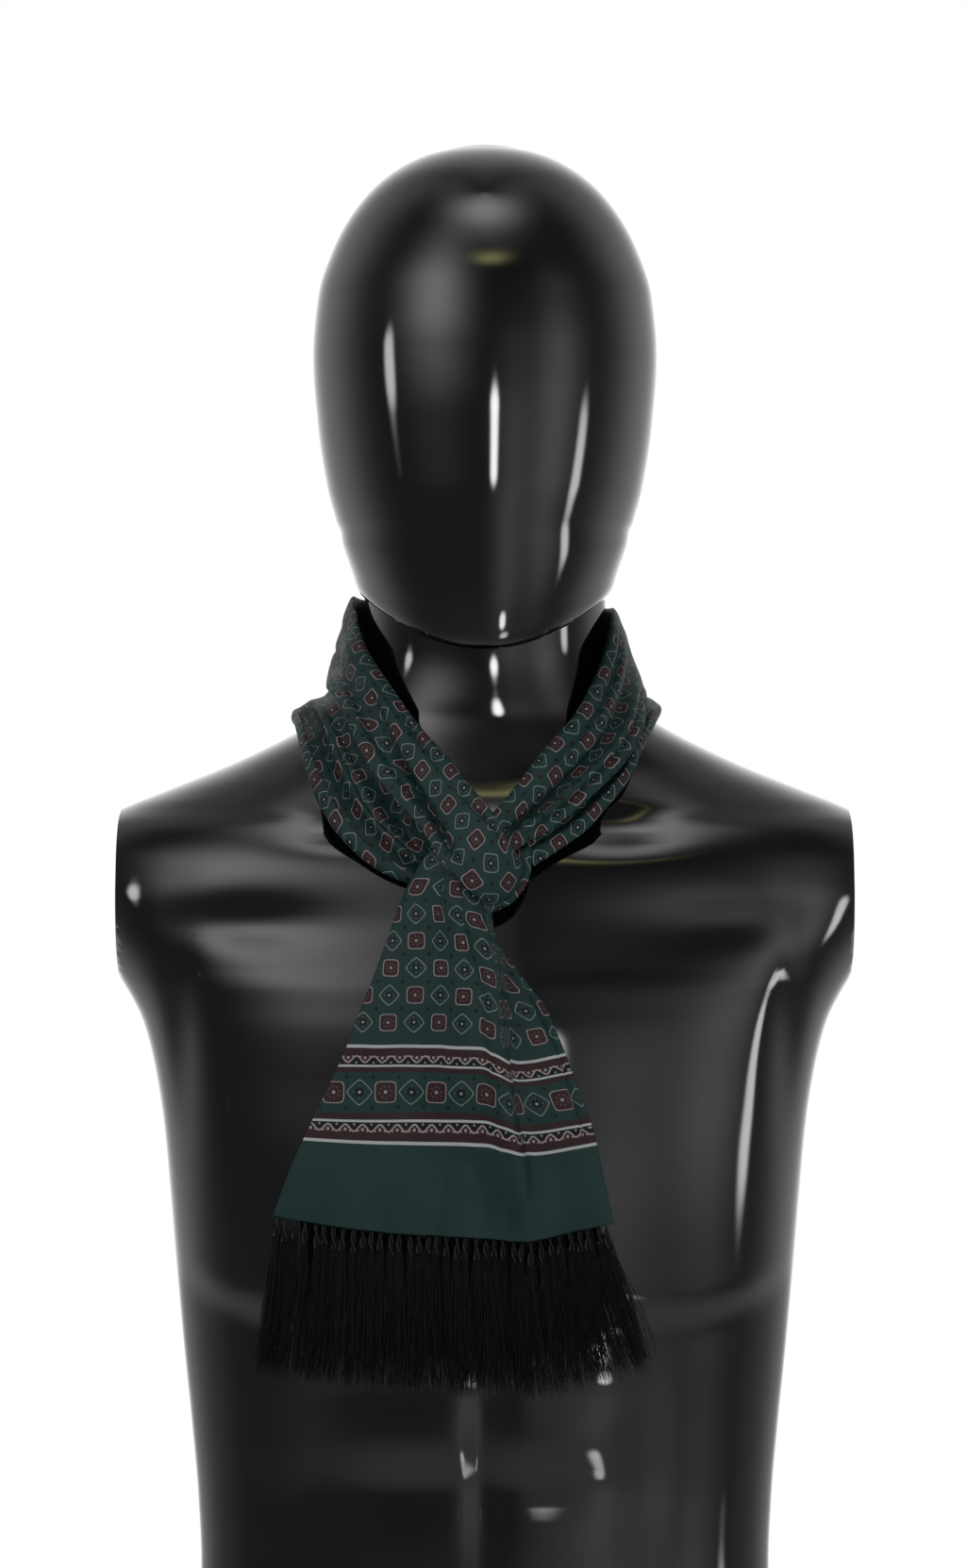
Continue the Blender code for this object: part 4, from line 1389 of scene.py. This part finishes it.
def silk_material(name, border):
    """Printed silk twill, dark green with maroon, with its border above the hem where asked."""
    t = Tree(bpy.data.materials.new(name))
    lengths = t.node("ShaderNodeUVMap", (), uv_map=CLOTH_MAP).outputs[0]
    x_all, y_all, _ = t.node("ShaderNodeSeparateXYZ", [(0, lengths)]).outputs
    cloudy = t.noise(lengths, scale=0.045, detail=3.0)
    ground = t.mix(cloudy, *(toned(GROUND, share) for share in CLOUD_TONES))
    colour = small_motifs(t, ground, x_all, y_all)
    if border:
        colour = bordered(t, colour, ground, x_all, y_all)
    diagonal = t.math("MULTIPLY", t.math("ADD", x_all, y_all), math.tau / TWILL_PITCH)
    grain = t.scaled(t.math("SINE", diagonal), by=0.5, plus=t.noise(lengths, scale=1.6))
    ribs = t.scaled(grain, by=TWILL_CONTRAST, plus=(1 - TWILL_CONTRAST) / 2)
    tone = t.mix(ribs, *(toned(WHITE, share) for share in RIB_TONES))
    return t.shaded(
        {
            "Base Color": t.vector("MULTIPLY", colour, tone).outputs[0],
            "Roughness": 0.5,
            "Specular IOR Level": 0.18,
            "Sheen Weight": 0.02,
            "Sheen Roughness": 0.4,
            "Sheen Tint": (0.55, 0.75, 0.72, 1.0),
            "Normal": t.bump(grain, strength=0.18, distance=0.00012),
        }
    )


def thread_material():
    """Black silk thread."""
    t = Tree(bpy.data.materials.new("black_silk_thread"))
    place = t.place()
    return t.shaded(
        {
            "Base Color": t.mix(t.noise(place, scale=220.0), srgb(4, 4, 5), srgb(24, 24, 25)),
            "Roughness": 0.4,
            "Specular IOR Level": 0.22,
            "Normal": t.bump(t.noise(place, scale=2400.0), strength=0.2, distance=0.0001),
        }
    )


def lacquer_material():
    """Glossy black lacquer with a faint unevenness and a little fine dust."""
    t = Tree(bpy.data.materials.new("black_lacquer"))
    place = t.place()
    wavy = t.noise(place, scale=9.0)
    dust = t.math("GREATER_THAN", t.noise(place, scale=900.0, detail=1.0), DUST_FROM)
    haze = t.scaled(t.noise(place, scale=22.0, detail=4.0), by=0.05, plus=0.03)
    return t.shaded(
        {
            "Base Color": t.mix(wavy, srgb(5, 5, 6), srgb(10, 10, 11)),
            "Roughness": t.scaled(dust, by=0.2, plus=haze),
            "Coat Weight": 0.6,
            "Coat Roughness": 0.03,
            "Normal": t.bump(wavy, strength=0.12, distance=0.002),
        }
    )


def floor_material():
    """A pale matt floor that thins out all round, so that no edge of it shows in the gloss."""
    t = Tree(bpy.data.materials.new("pale_floor"))
    place = t.place()
    inputs = (
        ("Value", t.vector("LENGTH", place).outputs["Value"]),
        ("From Min", FLOOR_FULL),
        ("From Max", FLOOR_REACH),
        ("To Min", 1.0),
        ("To Max", 0.0),
    )
    fade = t.node("ShaderNodeMapRange", inputs, interpolation_type="SMOOTHERSTEP")
    return t.shaded(
        {
            "Base Color": t.mix(t.noise(place, scale=1.4), srgb(238, 238, 238), srgb(246, 246, 245)),
            "Roughness": 0.9,
            "Alpha": fade.outputs["Result"],
        }
    )


# ---------------------------------------------------------------- the studio

PHOTO_SIZE = (1024, 1663)
PIXEL = 0.475  # millimetres a pixel of the photograph at y = 0
CAMERA_AWAY = 2600.0
CAMERA_HEIGHT = 520.0
MIDLINE_PIXEL = 514  # the column of the photograph on which x = 0 lies
SENSOR = 36.0
CLIP_END = 50.0  # metres

FLOOR_FULL = 0.12  # metres from the middle to where the floor starts to thin out
FLOOR_REACH = 0.80  # and to where it ends

FILL = (0.06, 0.06, 0.06)  # light from all round
YELLOWISH = (0.86, 0.82, 0.34, 1.0)
SOFTBOXES = (
    # degrees to the right of the camera, degrees up, half width, half height, strength, colour
    (8, 6.5, 3.4, 7, 15.0, WHITE),
    (-42, 34, 24, 20, 2.0, WHITE),
    (58, 6, 18, 24, 0.8, WHITE),
    (-76, 10, 4, 8, 6.0, WHITE),
    (82, -4, 4, 8, 6.0, WHITE),
    (24, -6, 16, 26, 0.5, WHITE),
    (24, -30, 4, 3, 12.0, WHITE),
    (30, -40, 6, 5, 6.0, WHITE),
    (6, 52, 17, 3.0, 2.2, YELLOWISH),
    (0, 76, 70, 12, 2.3, WHITE),
    (0, -80, 180, 56, 0.25, WHITE),
    (-128, 10, 26, 60, 0.4, WHITE),
    (128, 10, 26, 60, 0.4, WHITE),
    (-180, 10, 26, 50, 1.0, WHITE),
    (180, 10, 26, 50, 1.0, WHITE),
)
SOFT_FROM = 15  # half width from which a softbox fades out evenly, with no edge


def add_camera(shift):
    """The photograph's camera: level, and straight in front of the form."""
    camera = bpy.data.cameras.new("photo_camera")
    camera.sensor_width = SENSOR
    camera.lens = SENSOR * CAMERA_AWAY / (PIXEL * PHOTO_SIZE[1])
    camera.shift_x = (PHOTO_SIZE[0] / 2 - MIDLINE_PIXEL) / PHOTO_SIZE[1]
    camera.clip_end = CLIP_END
    place = Vector((0, -CAMERA_AWAY, CAMERA_HEIGHT)) * MM + shift
    thing = add_object("photo_camera", camera, place)
    thing.rotation_euler = (math.radians(90), 0, 0)
    bpy.context.scene.camera = thing


def add_floor():
    """A plain pale floor."""
    mesh = bpy.data.meshes.new("floor")
    ends = (-FLOOR_REACH, FLOOR_REACH)
    mesh.from_pydata([(x, y, 0.0) for y in ends for x in ends], [], [(0, 1, 3, 2)])
    mesh.materials.append(floor_material())
    add_object("floor", mesh, (0, 0, 0))


def add_surround():
    """A dim room with large softboxes round the floor, which to the camera is plain white."""
    t = Tree(bpy.data.worlds.new("studio"))
    bpy.context.scene.world = t.owner
    way = t.nodes.new("ShaderNodeTexCoord").outputs["Generated"]
    x, y, z = t.node("ShaderNodeSeparateXYZ", [(0, way)]).outputs
    aside = t.math("ARCTAN2", x, t.math("MULTIPLY", y, -1))
    up = t.math("ARCSINE", z)
    light = FILL
    for right, height, half_width, half_height, strength, colour in SOFTBOXES:
        squares = []
        for value, middle, half in ((aside, right, half_width), (up, height, half_height)):
            offset = t.math("SUBTRACT", value, math.radians(middle))
            share = t.math("DIVIDE", offset, math.radians(half))
            squares.append(t.math("MULTIPLY", share, share))
        away = t.math("ADD", *squares)
        if half_width < SOFT_FROM:
            away = t.math("MULTIPLY", away, away)
        share = t.math("EXPONENT", t.math("MULTIPLY", away, -1))
        light = t.vector("MULTIPLY_ADD", share, toned(colour, strength)[:3], light).outputs[0]
    seen = t.nodes.new("ShaderNodeLightPath").outputs["Is Camera Ray"]
    t.put(t.nodes["Background"].inputs["Color"], t.mix(seen, light, WHITE))
    bpy.context.scene.view_settings.view_transform = "Standard"


# ---------------------------------------------------------------- putting it together

LOWER_SEED, BACK_SEED, FRONT_SEED, UPPER_SEED = 1.0, 2.0, 3.0, 4.0
LAID = ("draped", None)  # how a cloth is held, and its flat area where it isn't a rectangle
SHEETS = (
    # piece, node, its material, flat width and length, held and area, rests on, carries
    ("silk_wrap_lower", "wrap_lower", "field", (0.050, 0.627), LAID, ["form_shell"], []),
    ("silk_wrap_upper", "wrap_upper", "field", (0.052, 0.663), LAID,
     ["form_shell", "silk_wrap_lower"], []),
    ("silk_loop_edge", "wrap_upper", "field", (0.014, 0.066), LAID,
     ["silk_wrap_lower", "silk_tail_front"], []),
    ("silk_tail_back", "tail_back", "border", (0.140, 0.144), ("hung", 0.0122),
     ["silk_wrap_lower"], ["threads_back"]),
    ("silk_tail_front", "tail_front", "border", (0.166, 0.186), ("hung", 0.0190),
     ["silk_wrap_lower"], ["threads_front"]),
)
FRINGES = (
    # piece, node, roots, threads of each, drop, bulk of a root, spread, seed
    ("threads_front", "fringe_front", 36, 78, 76, 1.0, FRONT_FRINGE_SPREAD, 5),
    ("threads_back", "fringe_back", 28, 40, 74, 0.3, BACK_FRINGE_SPREAD, 6),
)


def packed_grids(form):
    """The stretches of cloth as the solids have them, each clear of what is under it."""
    lower = rest_on(band_grid(LOWER_BAND, LOWER_FOLDS, LOWER_ROLLS, thin_edge=0), [form])
    under = [form, tube_layer(lower, LAYER_GAP)]
    back = rest_on(tail_grid(BACK_TAIL, BACK_TAIL_FOLDS, BACK_TAIL_GRID), under)
    threads = back[-1:] + (0, BACK_FRINGE_SPREAD[2] / FRINGE_PART, -FRINGE_DROP / FRINGE_PART)
    under.append(sheet_layer(np.concatenate([back, threads]), LAYER_GAP + STRIP_WALL / 2))
    front = rest_on(tail_grid(FRONT_TAIL, FRONT_TAIL_FOLDS, FRONT_TAIL_GRID), under)
    loose = band_grid(UPPER_BAND, UPPER_FOLDS, UPPER_ROLLS, thin_edge=1)
    upper = rest_on(loose, under)
    under += [sheet_layer(front, LAYER_GAP), tube_layer(upper[-CROSSED_SECTIONS:], LAYER_GAP)]
    crossing = slice(TURN_SECTIONS, CROSSING_SECTIONS)
    upper[crossing] = rest_on(upper[crossing], under)
    return lower, back, front, let_ends_loose(upper, loose)


def let_ends_loose(upper, loose):
    """Takes the upper band's ends back towards where they were, since other cloth hides them."""
    share = np.sqrt(np.linspace(0, 1, CROSSED_SECTIONS))[:, None, None] * (1, 0, 1)
    end = upper[-CROSSED_SECTIONS:]
    upper[-CROSSED_SECTIONS:] = end + (loose[-CROSSED_SECTIONS:] - end) * share
    upper[:TURN_SECTIONS] = loose[:TURN_SECTIONS]
    return upper


def fine_cloths(form, lower, back, front, upper):
    """Each cloth's fine grid with its lengths along and across, and the tails' hems."""
    form = (*form[:2], FINE_GAP)
    lower = fine_band(lower, LOWER_CREASES, LOWER_ROLLS, [form], LOWER_SEED)
    under = [form, tube_layer(lower, FINE_GAP, FINE_TUBE_EDGE)]
    back = fine_tail(back, BACK_TAIL_CREASES, FINE_BACK_TAIL, under, BACK_SEED)
    back_layer = sheet_layer(back, FINE_GAP)
    under.append(back_layer)
    front = fine_tail(front, FRONT_TAIL_CREASES, FINE_FRONT_TAIL, under, FRONT_SEED, folded_back=True)
    roll = loop_roll([form, back_layer])
    upper = fine_band(upper, UPPER_CREASES, UPPER_ROLLS, under, UPPER_SEED, grid_surface(lower))
    cloths = {
        "silk_wrap_lower": (lower, *cloth_lengths(lower)),
        "silk_wrap_upper": (upper, *cloth_lengths(upper)),
        "silk_loop_edge": (roll, *cloth_lengths(roll)),
        "silk_tail_back": roll_edge(back, *back_tail_lengths(back), last=False),
        "silk_tail_front": roll_edge(front, *front_tail_lengths(front), last=True),
    }
    return cloths, {"fringe_front": front[-1], "fringe_back": back[-1]}


def dress(thing, node, material):
    """Gives a piece its material and its place in the frame, and hides the node that it stands for.
    """
    thing.data.materials.append(material)
    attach(thing, "root")
    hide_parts(node)
    return thing


def main():
    form_middle = max(centre + depth for _, _, depth, centre, _ in TORSO_SECTIONS)
    shift = Vector((0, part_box("display_form")[1][1] - form_middle * MM, 0))
    form = rings_layer(coarse_form_rings(), HEAD_TOP)
    cloths, hems = fine_cloths(form, *packed_grids(form))

    silk = {
        "field": silk_material("printed_silk_field", border=False),
        "border": silk_material("printed_silk_border", border=True),
    }
    for name, node, kind, *_ in SHEETS:
        thing = cloth_object(name, *cloths[name], shift)
        dress(thing, node, silk[kind])
    black = thread_material()
    for name, node, *row in FRINGES:
        thing = make_threads(name, hems[node], *row, shift)
        dress(thing, node, black)
    shell = make_form(shift)
    dress(shell, "display_form", lacquer_material())

    add_floor()
    add_surround()
    add_camera(shift)
    bpy.context.view_layer.update()


main()
